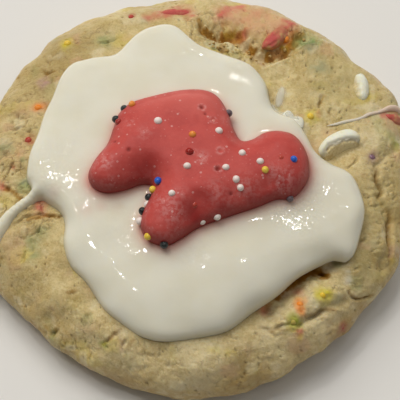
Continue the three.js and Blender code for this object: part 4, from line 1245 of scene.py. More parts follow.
def make_specks_group():
    """Specks: round dots at random places, of the given spacing, with their size as a share of
    it, and present only in a share of the cells."""
    kit, given, out = new_group(
        "Scattered specks", {"Spacing": 0.001, "Size": 0.25, "Share": 0.4}, ["Mask"])
    cells = kit.node("TexVoronoi", {
        "Vector": given["Place"], "Scale": kit.math("DIVIDE", 1.0, given["Spacing"]),
        "Randomness": 1.0}).outputs
    dot = kit.math("LESS_THAN", cells["Distance"], given["Size"])
    drawn = kit.node("SeparateColor", {"Color": cells["Color"]}).outputs[0]
    kit.put(out["Mask"], kit.times(dot, kit.math("LESS_THAN", drawn, given["Share"])))


def make_cracks_group():
    """Cracks: thin angular lines between cells of the given size, bent by noise."""
    kit, given, out = new_group("Fine cracks", {"Cell": 0.0016}, ["Mask"])
    bend = kit.node("TexNoise", {"Vector": given["Place"], "Scale": 900.0, "Detail": 2.0})
    centred = kit.node("VectorMath", {0: bend.outputs["Color"], 1: (0.5, 0.5, 0.5)},
                       operation="SUBTRACT")
    shift = kit.node("VectorMath", {0: centred.outputs[0], "Scale": 0.0012}, operation="SCALE")
    bent = kit.node("VectorMath", {0: given["Place"], 1: shift.outputs[0]}, operation="ADD")
    cells = kit.node("TexVoronoi", {
        "Vector": bent.outputs[0], "Scale": kit.math("DIVIDE", 1.0, given["Cell"]),
        "Randomness": 1.0}, feature="DISTANCE_TO_EDGE")
    kit.put(out["Mask"], kit.ramp(cells.outputs["Distance"], 0.1, 0.02))


def make_patches_group():
    """Patches: noise cut at a level into ragged soft-edged patches, from 0 to 1."""
    kit, given, out = new_group("Ragged patches", {"Patch Size": 0.002, "Level": 0.5}, ["Mask"])
    field = kit.cloud(given["Place"], kit.math("DIVIDE", 1.0, given["Patch Size"]), 5.0, 0.65)
    low = kit.math("SUBTRACT", given["Level"], 0.08)
    high = kit.math("ADD", given["Level"], 0.12)
    kit.put(out["Mask"], kit.ramp(field, low, high))


class Finish(NodeKit):
    """A material with one Principled shader, whose base colour is built up in layers."""

    def __init__(self, name, looks, base, plain):
        """The shader with its plain values and the colour of the lowest layer."""
        self.material = bpy.data.materials.new(name)
        self.material.use_nodes = True
        super().__init__(self.material.node_tree)
        self.shader = self.tree.nodes["Principled BSDF"].inputs
        for socket, value in plain.items():
            self.shader[socket].default_value = value
        self.looks = looks
        self.base = self.colour(base)
        self.place = self.node("TexCoord").outputs["Object"]

    def colour(self, value):
        """A colour by its name in the settings, or as it is."""
        return self.looks[value] if isinstance(value, str) else value

    def group(self, name, sizes):
        """The outputs of a shared group, at the point's place on the piece."""
        return self.node("Group", {"Place": self.place, **sizes},
                         node_tree=bpy.data.node_groups[name]).outputs

    def grain(self, size):
        """Shade and height of a grain of the given size."""
        outputs = self.group("Baked grain", {"Grain Size": size})
        return outputs["Shade"], outputs["Height"]

    def patches(self, size, level):
        """A mask of ragged patches."""
        return self.group("Ragged patches", {"Patch Size": size, "Level": level})["Mask"]

    def specks(self, spacing, size, share):
        """A mask of scattered specks."""
        sizes = {"Spacing": spacing, "Size": size, "Share": share}
        return self.group("Scattered specks", sizes)["Mask"]

    def field(self, name, output="Fac"):
        """A piece's own field, by name."""
        return self.node("Attribute", attribute_name=name).outputs[output]

    def cover(self, colour, mask, strength=None):
        """Lays a colour over the base where the mask says, and as strongly as it is told."""
        if strength is not None:
            mask = self.times(mask, strength)
        self.base = self.mix(mask, self.base, self.colour(colour))

    def bump(self, height, distance, strength, under=None):
        """A normal from a height field over another normal, with the distance in metres."""
        inputs = {"Height": height, "Distance": distance, "Strength": strength}
        if under is not None:
            inputs["Normal"] = under
        return self.node("Bump", inputs).outputs[0]

    def done(self, **sockets):
        """The material, with its base colour and the given sockets joined to the shader."""
        self.put(self.shader["Base Color"], self.base)
        for name, value in sockets.items():
            self.put(self.shader[name.replace("_", " ")], value)
        return self.material


# ================ materials
def dough_material(looks):
    """Baked dough: pale and toasted patches under a fine grain, brown in cracks and pits, partly
    browned crust and partly painted shade, with painted shade in the low grains, darker beside
    the icing, partly soaked and partly painted shade, and the dye that ran from baked-in pieces."""
    finish = Finish("Baked dough", looks, "pale", {
        "Subsurface Radius": (1.0, 0.7, 0.4), "Subsurface Scale": 0.001})
    shade, height = finish.grain(0.00035)
    for size, level, strength, colour in (
            (0.006, 0.5, 1.0, "golden"), (0.0021, 0.55, 0.25, "rosy"),
            (0.0017, 0.55, 0.7, "light_crumb"), (0.0031, 0.53, 0.65, "ochre"),
            (0.0013, 0.55, 0.6, "ochre"), (0.0007, 0.57, 0.5, "light_crumb")):
        finish.cover(colour, finish.patches(size, level), strength)
    finish.cover("tan", finish.field("tanned"), 0.85)
    rim = finish.field("rim")
    finish.cover("toasted_rim", finish.times(rim, finish.patches(0.0033, 0.45)), 0.8)
    finish.cover("light_crumb", finish.times(rim, finish.patches(0.0024, 0.54)), 0.65)
    # Partly soaked dough and partly painted shade beside the icing.
    finish.cover("buttery", finish.field("soaked"), 0.6)
    finish.cover("light_crumb", finish.ramp(shade, 0.3, 0.7), 0.35)
    # Painted shade in the low grains.
    finish.cover("crust", finish.ramp(height, 0.44, 0.3, 0.0, 0.2))
    cracks = finish.group("Fine cracks", {"Cell": 0.0015})["Mask"]
    cracked = finish.times(finish.times(cracks, finish.patches(0.0014, 0.56)),
                           finish.math("ADD", 0.12, finish.field("rough")))
    finish.cover("crust", cracked, 0.6)
    # Browned crust and painted shade in the recesses.
    finish.cover("crust", finish.field("hollow"))
    flecked = finish.times(finish.ramp(shade, 0.42, 0.68), 0.45)
    toast = finish.field("toast")
    finish.cover(finish.mix(flecked, looks["caramel"], looks["toasted_rim"]), toast)
    ragged = finish.ramp(shade, 0.25, 0.6, 0.6, 1.0)
    finish.cover(finish.field("dye", "Color"), finish.field("dye_amount"), ragged)
    split = finish.bump(finish.math("SUBTRACT", 1.0, cracked), 0.00014, 0.8)
    lumpy = finish.bump(finish.grain(0.0009)[1], 0.00018, 0.6, split)
    return finish.done(
        Subsurface_Weight=finish.ramp(toast, 0.0, 1.0, 0.4, 0.05),
        Specular_IOR_Level=finish.ramp(toast, 0.0, 0.8, 0.5, 0.06),
        Roughness=finish.ramp(shade, 0.3, 0.7, 0.28, 0.6),
        Normal=finish.bump(height, 0.00016, 0.6, lumpy))


def icing_material(name, looks, see_through=False):
    """Set icing: warm white and deep, glossy with a fine ripple that breaks up the highlights,
    pinkish where the pink coating bled into it, and yellower where it is thin."""
    finish = Finish(name, looks, "icing", {
        "Subsurface Weight": 0.45, "Subsurface Radius": (1.0, 0.85, 0.6),
        "Subsurface Scale": 0.0016, "Specular IOR Level": 0.5, "IOR": 1.45})
    finish.cover("icing_warm", finish.ramp(finish.cloud(finish.place, 140.0, 2.0), 0.35, 0.65))
    finish.cover("icing_pink", finish.field("bleed"))
    finish.cover("icing_thin", finish.field("thin"), 0.35)
    rippled = finish.times(finish.cloud(finish.place, 1000.0, 1.5), finish.field("rippled"))
    film = {"Alpha": finish.ramp(finish.field("body"), 0.0, 1.0, 0.05, 0.65)} if see_through else {}
    return finish.done(
        Roughness=finish.ramp(finish.grain(0.00045)[0], 0.35, 0.65, 0.03, 0.08),
        Normal=finish.bump(rippled, 0.00012, 1.0), **film)


def animal_material(looks):
    """Pink coating: mottled rose red, satin, dusted with pale specks, rubbed pale on its lower sides,
    and darker in its little pits, with painted shade low on its sides and in its hollows, and
    painted light towards its back."""
    finish = Finish("Pink coating", looks, "pink", {
        "Subsurface Weight": 0.15, "Subsurface Radius": (1.2, 0.3, 0.25),
        "Subsurface Scale": 0.001, "Specular IOR Level": 0.4})
    shade, height = finish.grain(0.0005)
    finish.cover("pink_deep", finish.patches(0.005, 0.5))
    finish.cover("pink_light", finish.ramp(shade, 0.45, 0.75, 0.0, 0.25))
    # Painted light: the coating is lighter towards its back.
    finish.cover("pink_light", finish.field("paled"), 0.75)
    rubbed = finish.field("rubbed")
    frosted = finish.times(rubbed, finish.patches(0.0007, 0.48))
    finish.cover("frost", frosted, 0.5)
    finish.cover("frost", finish.specks(0.0006, 0.22, 0.3), finish.ramp(rubbed, 0.0, 1.0, 0.12, 0.62))
    finish.cover("frost", finish.specks(0.0013, 0.16, 0.45), 0.4)
    # Painted shade: the coating is darker low on its sides and at the listed places.
    finish.cover("pink_wet", finish.field("foot"), 0.85)
    finish.cover("pink_pit", finish.field("pit"))
    satin = finish.ramp(shade, 0.3, 0.7, 0.38, 0.6)
    return finish.done(Roughness=finish.math("ADD", satin, finish.times(frosted, 0.15)),
                       Normal=finish.bump(height, 0.00006, 0.6))


def sprinkle_material(name, colour):
    """A sugar ball: its colour a little cloudy, with a shiny worn surface."""
    finish = Finish(name, {}, colour, {
        "Subsurface Weight": 0.1, "Subsurface Radius": (1.0, 0.8, 0.7), "Subsurface Scale": 0.0003,
        "Coat Weight": 0.25, "Coat Roughness": 0.15})
    shade, height = finish.grain(0.0003)
    paler = tuple(int(blend(value, PALE_SUGAR, 0.18)) for value in colour)
    finish.cover(paler, finish.ramp(shade, 0.35, 0.65))
    return finish.done(Roughness=finish.ramp(shade, 0.3, 0.7, 0.22, 0.42),
                       Normal=finish.bump(height, 0.00003, 0.4))


def chip_material(looks):
    """Ivory chip: smooth and fatty, yellower low down, partly stained by the dough and partly painted
    shade, dark with painted shade in its split, and the dough's own colours where the dough laps
    over it."""
    finish = Finish("Ivory chip", looks, "chip", {
        "Subsurface Weight": 0.35, "Subsurface Radius": (1.0, 0.8, 0.4),
        "Subsurface Scale": 0.001, "Specular IOR Level": 0.4})
    shade, height = finish.grain(0.0005)
    finish.cover("chip_yellow", finish.patches(0.002, 0.55), 0.3)
    # Yellower low down: partly stain, partly painted shade.
    finish.cover("chip_yellow", finish.field("stained"))
    doughy = finish.mix(finish.ramp(shade, 0.4, 0.6), looks["golden"], looks["light_crumb"])
    finish.cover(doughy, finish.field("lapped"), 0.92)
    # Painted shade in the split.
    finish.cover("crust", finish.field("split"))
    return finish.done(Roughness=finish.ramp(shade, 0.3, 0.7, 0.35, 0.5),
                       Normal=finish.bump(height, 0.00003, 0.4))


def candy_material(looks):
    """Pink candy baked dull: rose red under ragged patches of dough dust."""
    finish = Finish("Pink candy", looks, "candy", {
        "Subsurface Weight": 0.15, "Subsurface Radius": (1.2, 0.4, 0.3),
        "Subsurface Scale": 0.0008, "Specular IOR Level": 0.35})
    shade, height = finish.grain(0.0004)
    finish.cover("candy_deep", finish.ramp(shade, 0.35, 0.65))
    dusted = finish.field("dusted")
    finish.cover("candy_dust", finish.math("POWER", dusted, 2.5), 0.8)
    finish.cover("golden", finish.times(finish.patches(0.0013, 0.55), dusted), 0.8)
    return finish.done(Roughness=finish.ramp(shade, 0.3, 0.7, 0.45, 0.7),
                       Normal=finish.bump(height, 0.00012, 0.6))


# ================ settings
def length_property(name, description, default):
    """A size in metres that the user can change."""
    return bpy.props.FloatProperty(
        name=name, description=description, default=default, min=0.0, precision=5, unit="LENGTH")


def colour_property(name, description, colour):
    """A colour that the user can change, from 0 to 255 as it looks on a screen."""
    return bpy.props.FloatVectorProperty(
        name=name, description=description, size=3, subtype="COLOR", min=0.0, max=1.0,
        default=linear(colour))


class CookieSizes(bpy.types.PropertyGroup):
    """Sizes that change the finish without moving a piece."""

    crumb_height: length_property("Crumb height", "Height of the even crust's crumb", 0.000095)
    pore_depth: length_property("Pore depth", "Depth of the larger pores of the crust", 0.0003)
    crease_depth: length_property("Crease depth", "Depth of the crust's fine creases", 0.00033)
    icing_thickness: length_property("Icing thickness", "Icing in the middle of the pool", 0.0024)
    icing_round: length_property("Icing edge", "Width of the icing's rounded edge", 0.003)
    meniscus: length_property("Meniscus", "Climb of the icing at the animal cookie", 0.00045)
    sprinkle_radius: length_property(
        "Sprinkle radius", "Mean radius of a sprinkle", SPRINKLE_RADIUS * MM)


class CookieColours(bpy.types.PropertyGroup):
    """Colours of the finishes."""

    pale: colour_property("Pale dough", "Dough where it is least baked", (210, 190, 136))
    golden: colour_property("Golden dough", "Dough where it is baked golden", (190, 165, 106))
    light_crumb: colour_property("Light crumb", "High grains of the dough", (221, 205, 158))
    rosy: colour_property("Rosy dough", "Pinkish patches of the dough", (206, 174, 132))
    ochre: colour_property("Ochre dough", "Deeper patches of the dough", (172, 147, 82))
    toasted_rim: colour_property("Toasted rim", "Dough low on the rim", (176, 136, 54))
    tan: colour_property("Tanned dough", "Dough in its broad tanned places", (163, 140, 84))
    # Partly soaked dough and partly painted shade beside the icing.
    buttery: colour_property("Buttery dough", "Dough that soaked beside the icing", (166, 140, 84))
    # Also the painted shade in the dough's recesses and grain lows, and in the chips' splits.
    crust: colour_property("Crust", "Dough in cracks and pores", (112, 82, 28))
    caramel: colour_property("Caramel", "Toasted crumb in the pits", (138, 90, 1))
    icing: colour_property("Icing", "Icing", (223, 220, 204))
    icing_warm: colour_property("Warm icing", "Icing where it is a little yellower", (220, 216, 197))
    icing_thin: colour_property("Thin icing", "Icing at its thin edge", (222, 214, 184))
    icing_pink: colour_property("Pink icing", "Icing that took up pink", (206, 110, 100))
    pink: colour_property("Pink coating", "Coating of the animal cookie", (189, 77, 70))
    pink_deep: colour_property("Deep pink", "Coating in its darker patches", (180, 69, 63))
    # Also the painted light towards the back of the coating.
    pink_light: colour_property("Light pink", "Coating in its lighter grain", (212, 112, 103))
    pink_pit: colour_property("Pink pit", "Coating in its pits", (120, 40, 36))
    # Painted shade: the coating low on its sides and in its hollows.
    pink_wet: colour_property("Shaded pink", "Coating where it soaks in the icing", (142, 36, 32))
    frost: colour_property("Frost", "Pale specks and rubbed places", (222, 188, 184))
    chip: colour_property("Ivory chip", "White chips", (229, 230, 212))
    # Also the painted shade low on the chips.
    chip_yellow: colour_property("Stained chip", "White chips where they are stained", (214, 202, 154))
    candy: colour_property("Pink candy", "Pink candy pieces", (192, 86, 82))
    candy_deep: colour_property("Deep candy", "Pink candy in its darker grain", (172, 72, 68))
    candy_dust: colour_property("Dusted candy", "Pink candy under dough dust", (186, 122, 92))
    floor: colour_property("Floor", "Floor under the cookie", (226, 224, 220))


def setting_names(settings):
    """The names of a group's settings, without Blender's own."""
    return [name for name in settings.bl_rna.properties.keys() if name not in ("rna_type", "name")]


def screen_colours(context):
    """The colours of the settings, by name, as they look on a screen, from 0 to 255."""
    settings = context.scene.cookie_colours
    made = {}
    for name in setting_names(settings):
        flat = np.asarray(getattr(settings, name)[:], float)
        screen = np.where(flat <= 0.0031308, flat * 12.92, 1.055 * flat ** (1 / 2.4) - 0.055)
        made[name] = tuple(screen * 255)
    return made


# ================ operators
class CookieOperator:
    """What all the operators share: each makes its pieces or raises an error."""

    bl_options = {"REGISTER", "UNDO"}

    def execute(self, context):
        """Makes the pieces."""
        self.make(context, screen_colours(context), context.scene.cookie_sizes)
        return {"FINISHED"}


class COOKIE_OT_finishes(CookieOperator, bpy.types.Operator):
    """Make the shader groups that the finishes share"""

    bl_idname = "cookie.finishes"
    bl_label = "Finishes"

    def make(self, context, looks, sizes):
        """The four groups."""
        for make_group in (make_grain_group, make_specks_group, make_cracks_group, make_patches_group):
            make_group()


class COOKIE_OT_dough(CookieOperator, bpy.types.Operator):
    """Make the dough: rings on the sheet, close together where it shows, carried onto the
    profile with all its relief"""

    bl_idname = "cookie.dough"
    bl_label = "Dough"

    # Rings on the sheet: first and last radius and how many, under the icing, in view, and
    # on the underside.
    RINGS = [(1.0, 17.0, 7), (17.6, SHEET_END - 3.0, 103), (SHEET_END - 2.4, SHEET_END, 4)]

    def make(self, context, looks, sizes):
        """Rings of points on the sheet, lifted by the relief."""
        radii = np.concatenate([np.linspace(*rings) for rings in self.RINGS])
        angle = np.arange(DOUGH_SIDES) / DOUGH_SIDES * 2 * math.pi
        sheet, turn = np.meshgrid(radii, angle, indexing="ij")
        sheet, turn = sheet.ravel(), turn.ravel()
        x, y = sheet * np.cos(turn), sheet * np.sin(turn)
        broad, groove = main_relief(x, y)
        crack, dark = crack_relief(x, y)
        pit, toast = pit_relief(x, y)
        pore = pore_relief(x, y, 2.0, 0.42, 0.14, 0.36, 71)
        rough, broken = broadest(x, y, ROUGH_BANDS), broadest(x, y, CRUMBLED)
        crease = crease_relief(x, y, rough)
        crumb = crumb_relief(x, y, sizes.crumb_height / MM, rough, broken)
        open_dough = smoothstep(sheet, 16, 18)
        fine = (crack + pit + crumb - sizes.pore_depth / MM * pore
                - sizes.crease_depth / MM * crease) * open_dough
        relief = (broad + fine) * tuck_fade(sheet)
        relief[sheet >= SHEET_END - 1e-6] = 0
        rings = dough_point(x, y, relief).reshape(len(radii), DOUGH_SIDES, 3)
        middle = np.zeros(1)
        top = dough_point(middle, middle, soft_relief(middle, middle))[0]
        points, faces = ring_skin(top, rings, (0, 0, 0))
        piece = make_piece("sugar_cookie", points, faces, dough_material(looks),
                           ["cookie_base"])
        broken = np.clip(broken / 0.5, 0, 1)
        low = np.clip(-crumb / 0.35, 0, 1) * broken
        # Browned crust and painted shade in the cracks, pores, creases, grooves and low broken crumb.
        hollow = np.maximum.reduce([
            0.95 * dark, 0.72 * pore, 0.45 * crease,
            0.3 * np.clip(groove / 1.6, 0, 1) ** 1.5, 0.4 * low])
        pale_side = smoothstep(np.abs(flat_noise(x, y, 2.0, 72)), 0.1, 0.5)
        browned = np.maximum.reduce([
            0.85 * toast, browned_share(x, y), 0.5 * crater_share(x, y) * low * pale_side])
        # Darker dough beside the icing's edge: partly soaked, partly painted shade.
        from_icing = np.maximum(0, -outline_depth(even_curve(icing_knots(), 240, closed=True), x, y)[0])
        soaked = np.exp(-(from_icing / 1.5) ** 2) * (0.45 + 0.4 * flat_noise(x, y, 1.7, 73))
        dye, amount = dye_fields(x, y)
        fields = {"hollow": hollow * open_dough, "toast": browned * open_dough,
                  "soaked": np.clip(soaked, 0, 1), "rim": smoothstep(sheet, 35, 43),
                  "rough": np.clip(rough + broken, 0, 1), "tanned": tanned_share(x, y),
                  "dye_amount": amount}
        for name, field in fields.items():
            set_fields(piece, **{name: np.concatenate([[0], field, [float(name == "rim")]])})
        set_colours(piece, "dye", np.vstack([np.ones((1, 3)), dye, np.ones((1, 3))]))


class COOKIE_OT_icing(CookieOperator, bpy.types.Operator):
    """Make the icing pool with the drip that runs over the rim"""

    bl_idname = "cookie.icing"
    bl_label = "Icing"

    def make(self, context, looks, sizes):
        """The icing's closed skin with its fields."""
        points, faces, fields = icing_surfaces(
            sizes.icing_thickness / MM, sizes.icing_round / MM, sizes.meniscus / MM)
        material = icing_material("Set icing", looks)
        piece = make_piece("icing", points, faces, material, ["icing_pool"])
        set_fields(piece, **fields)


class COOKIE_OT_icing_trails(CookieOperator, bpy.types.Operator):
    """Make the thin trails of icing: the string across the dough, the smears and the small
    lumps beside the pool"""

    bl_idname = "cookie.icing_trails"
    bl_label = "Icing trails"

    STRING = [(23.0, 7.6), (24.5, 8.2), (26.3, 9.0), (28.0, 9.5), (29.2, 10.0), (30.4, 10.8),
              (32.2, 11.6), (33.3, 12.3), (34.8, 13.2), (36.4, 13.6), (38.0, 13.3)]
    STRING_RADII = [0.16, 0.24, 0.3, 0.28, 0.3, 0.36, 0.3, 0.4, 0.54, 0.58, 0.44]
    # Thin films: thickness and outline on the sheet.
    SMEARS = {
        "icing_sliver": (0.32, [(15.6, 16.2), (14.7, 14.8), (14.2, 12.8), (14.4, 11.2),
                                (15.6, 11.0), (16.5, 12.7), (16.8, 14.8), (16.4, 16.1)]),
        "icing_fringe": (0.5, [(13.6, 12.2), (13.6, 10.4), (14.8, 9.2), (16.0, 8.2), (17.4, 6.8),
                               (18.6, 5.6), (19.6, 6.2), (18.9, 7.8), (18.2, 9.3), (17.4, 9.6),
                               (16.9, 10.6), (15.9, 10.3), (15.2, 11.0), (14.6, 12.0)]),
    }
    LUMPS = [(16.4, 9.4, 0.85), (17.9, 7.8, 1.15)]

    def make(self, context, looks, sizes):
        """The string, the smears and the lumps."""
        solid = icing_material("Icing trail", looks)
        film = icing_material("Icing film", looks, see_through=True)
        points, faces = bead_along(self.STRING, self.STRING_RADII, 160, 18, 0.12)
        string = make_piece("icing_string", points, faces, solid)
        far_end = smoothstep(points[:, 0], 28, 34)
        set_fields(string, bleed=0.1 + 0.25 * far_end, thin=0.4, rippled=0.2)
        for number, (name, (thickness, knots)) in enumerate(self.SMEARS.items()):
            points, faces, body = draped_film(knots, 0.16, thickness, 81 + number)
            smear = make_piece(name, points, faces, film)
            set_fields(smear, bleed=0, thin=1 - 0.6 * body, rippled=0.4, body=body)
        x, y, radius = np.array(self.LUMPS).T
        centres = dough_point(x, y, soft_relief(x, y) + 0.1)
        radii = radius[:, None] * np.array([1.3, 1.2, 0.42])
        points, faces = many_balls(centres, radii, 28, 16, 0.2, 85)
        set_fields(make_piece("icing_lumps", points, faces, solid),
                   bleed=0, thin=0.3, rippled=0.3)


class COOKIE_OT_animal(CookieOperator, bpy.types.Operator):
    """Make the pink coated animal cookie"""

    bl_idname = "cookie.animal"
    bl_label = "Animal cookie"

    def make(self, context, looks, sizes):
        """The pillow with its rubbed and pitted fields, worked out from the normals, and its fields of
        painted shade low down and painted light towards the back.
        """
        points, faces = animal_surfaces()
        piece = make_piece("animal", points, faces, animal_material(looks),
                           ["animal_cookie"])
        normals = np.zeros(len(points) * 3, np.float32)
        piece.data.vertices.foreach_get("normal", normals)
        normals = normals.reshape(-1, 3)
        x, y, z = points.T
        upper = smoothstep(z, ANIMAL_FLOOR + 1.8, ANIMAL_FLOOR + 2.8)
        uneven = smoothstep(noise(points, 2.6, 91), -0.6, 0.4)
        rim = 0.3 * smoothstep(1 - normals[:, 2], 0.1, 0.4) * uneven
        rubbed = strongest(rim, x, y, SCUFFS)
        for px, py in LOST_SPRINKLES:
            distance = np.hypot(x - px, y - py)
            rubbed = np.maximum(rubbed, 0.6 * np.exp(-((distance - 0.65) / 0.2) ** 2))
        pit = strongest(0, x, y, [(*row, 0.9) for row in COATING_PITS])
        ragged = 0.35 * noise(points, 1.5, 92)
        # Painted shade: full low on the sides, fading upwards, and at the listed places.
        foot = 1 - smoothstep(z + ragged, ANIMAL_FLOOR + 2.6, ANIMAL_FLOOR + 5.4)
        foot = strongest(foot, x, y, ANIMAL_SHADE_SPOTS, 1 + 0.5 * ragged)
        # The coating gets painted light, growing towards its back.
        set_fields(piece, rubbed=rubbed * upper, paled=smoothstep(y + 0.12 * x, 3, 12),
                   pit=pit * upper, foot=foot)


class COOKIE_OT_sprinkles(CookieOperator, bpy.types.Operator):
    """Make the sprinkles, one piece for each colour, on the animal cookie and in the dough"""

    bl_idname = "cookie.sprinkles"
    bl_label = "Sprinkles"

    def centres(self, colour):
        """Centres of all the sprinkles of one colour."""
        made = []
        top = np.array(TOP_SPRINKLES.get(colour, []), float).reshape(-1, 2)
        if len(top):
            x, y = top.T
            depth = outline_depth(ANIMAL_CURVE, x, y)[0]
            level = animal_top(x, y, depth) - SPRINKLE_SINK
            if colour in SUNK_COLOURS:
                level = level - SUNK_DEEPER
            made.append(np.column_stack([x, y, level]))
        made.append(np.array(SIDE_SPRINKLES.get(colour, []), float).reshape(-1, 3))
        baked = np.array(BAKED_SPRINKLES.get(colour, []), float).reshape(-1, 3)
        if len(baked):
            x, y, rise = baked.T
            made.append(dough_point(x, y, main_relief(x, y)[0] + rise))
        return np.concatenate(made)

    def make(self, context, looks, sizes):
        """One joined mesh for each colour."""
        draw = np.random.default_rng(5)
        for number, (colour, screen) in enumerate(SPRINKLE_COLOURS.items()):
            centres = self.centres(colour)
            radii = sizes.sprinkle_radius / MM * draw.uniform(0.9, 1.04, (len(centres), 1))
            radii = radii * draw.uniform(0.94, 1.03, (len(centres), 3))
            points, faces = many_balls(centres, radii, 26, 15, 0.03, 101 + number)
            material = sprinkle_material(f"Sugar ball {colour}", screen)
            nodes = []
            if colour in TOP_SPRINKLES or colour in SIDE_SPRINKLES:
                nodes.append("animal_cookie")
            if colour in BAKED_SPRINKLES:
                nodes.append("cookie_base")
            make_piece(f"sprinkles_{colour}", points, faces, material, nodes)


class COOKIE_OT_chips(CookieOperator, bpy.types.Operator):
    """Make the white chips and the pink candy pieces that are baked into the dough"""

    bl_idname = "cookie.chips"
    bl_label = "Chips and candy"

    def make(self, context, looks, sizes):
        """Each piece over its own solid."""
        chip, candy = chip_material(looks), candy_material(looks)
        for number, (node, (place, turn, half, sink)) in enumerate(WHITE_CHIPS.items()):
            points, faces = lying_ellipsoid(place, turn, half, sink, 0.92, 0.05, 3 + number)
            x, y, z = points.T
            ragged = 0.25 * flat_noise(x, y, 0.7, 75)
            upward = smoothstep(z, z.min() + 1.0, z.max() - 0.4)
            if node == "white_chip_lower":
                distance, side = near_path(CHIP_SPLIT["path"], x, y)[:2]
                flap = smoothstep(-side * distance + ragged, 0, 0.5)
                groove = np.exp(-((distance + 0.4 * ragged) / CHIP_SPLIT["half"]) ** 2)
                beyond = flap * smoothstep(distance, 0.4, 2.3)
                sunk = (CHIP_SPLIT["flap"] * flap + CHIP_SPLIT["depth"] * groove
                        + CHIP_SPLIT["beyond"] * beyond)
            else:
                distance, side = near_path(CHIP_LAP, x, y)[:2]
                flap = smoothstep(side * distance + ragged, -0.7, 0.7)
                groove = 0
                sunk = CHIP_LAP_DEPTH * flap
            # Yellower low down: partly stain, partly painted shade.
            stained = 0.45 * smoothstep(z.max() - z, 0.8, 2.6)
            points[:, 2] -= upward * sunk
            piece = make_piece(node.replace("white", "ivory"), points, faces, chip, [node])
            # The split gets painted shade.
            set_fields(piece, stained=stained, lapped=flap, split=0.5 * groove)
        for number, (node, (place, turn, half, sink)) in enumerate(PINK_CANDIES.items()):
            points, faces = lying_ellipsoid(place, turn, half, sink, 0.95, 0.1, 13 + number)
            piece = make_piece(node.replace("pink", "rose"), points, faces, candy, [node])
            edge = smoothstep(points[:, 2].max() - points[:, 2], 0.1, 0.7)
            set_fields(piece, dusted=0.35 + 0.65 * edge)


class COOKIE_OT_crumbs(CookieOperator, bpy.types.Operator):
    """Make the loose crumbs in the crater"""

    bl_idname = "cookie.crumbs"
    bl_label = "Crumbs"

    def make(self, context, looks, sizes):
        """Crumbs scattered along the first two broken bands, in the crater, by a seeded draw."""
        draw = np.random.default_rng(11)
        places = []
        for half, _, path in CRUMBLED[:2]:
            line = even_curve(path, 20)
            places.append(line + draw.normal(0, half * 0.45, line.shape))
        x, y = np.concatenate(places).T
        size = draw.uniform(0.14, 0.36, (len(x), 1))
        centres = dough_point(x, y, main_relief(x, y)[0] + size[:, 0] * 0.1)
        radii = size * draw.uniform(0.7, 1.2, (len(x), 3))
        points, faces = many_balls(centres, radii, 14, 8, 0.4, 111)
        piece = make_piece("crumbs", points, faces, bpy.data.materials["Baked dough"])
        toast = np.repeat(draw.uniform(0.1, 0.7, len(x)), len(points) // len(x))
        set_fields(piece, hollow=0, soaked=0, rim=0, rough=0, tanned=0.3, toast=toast, dye_amount=0)
        set_colours(piece, "dye", 1)


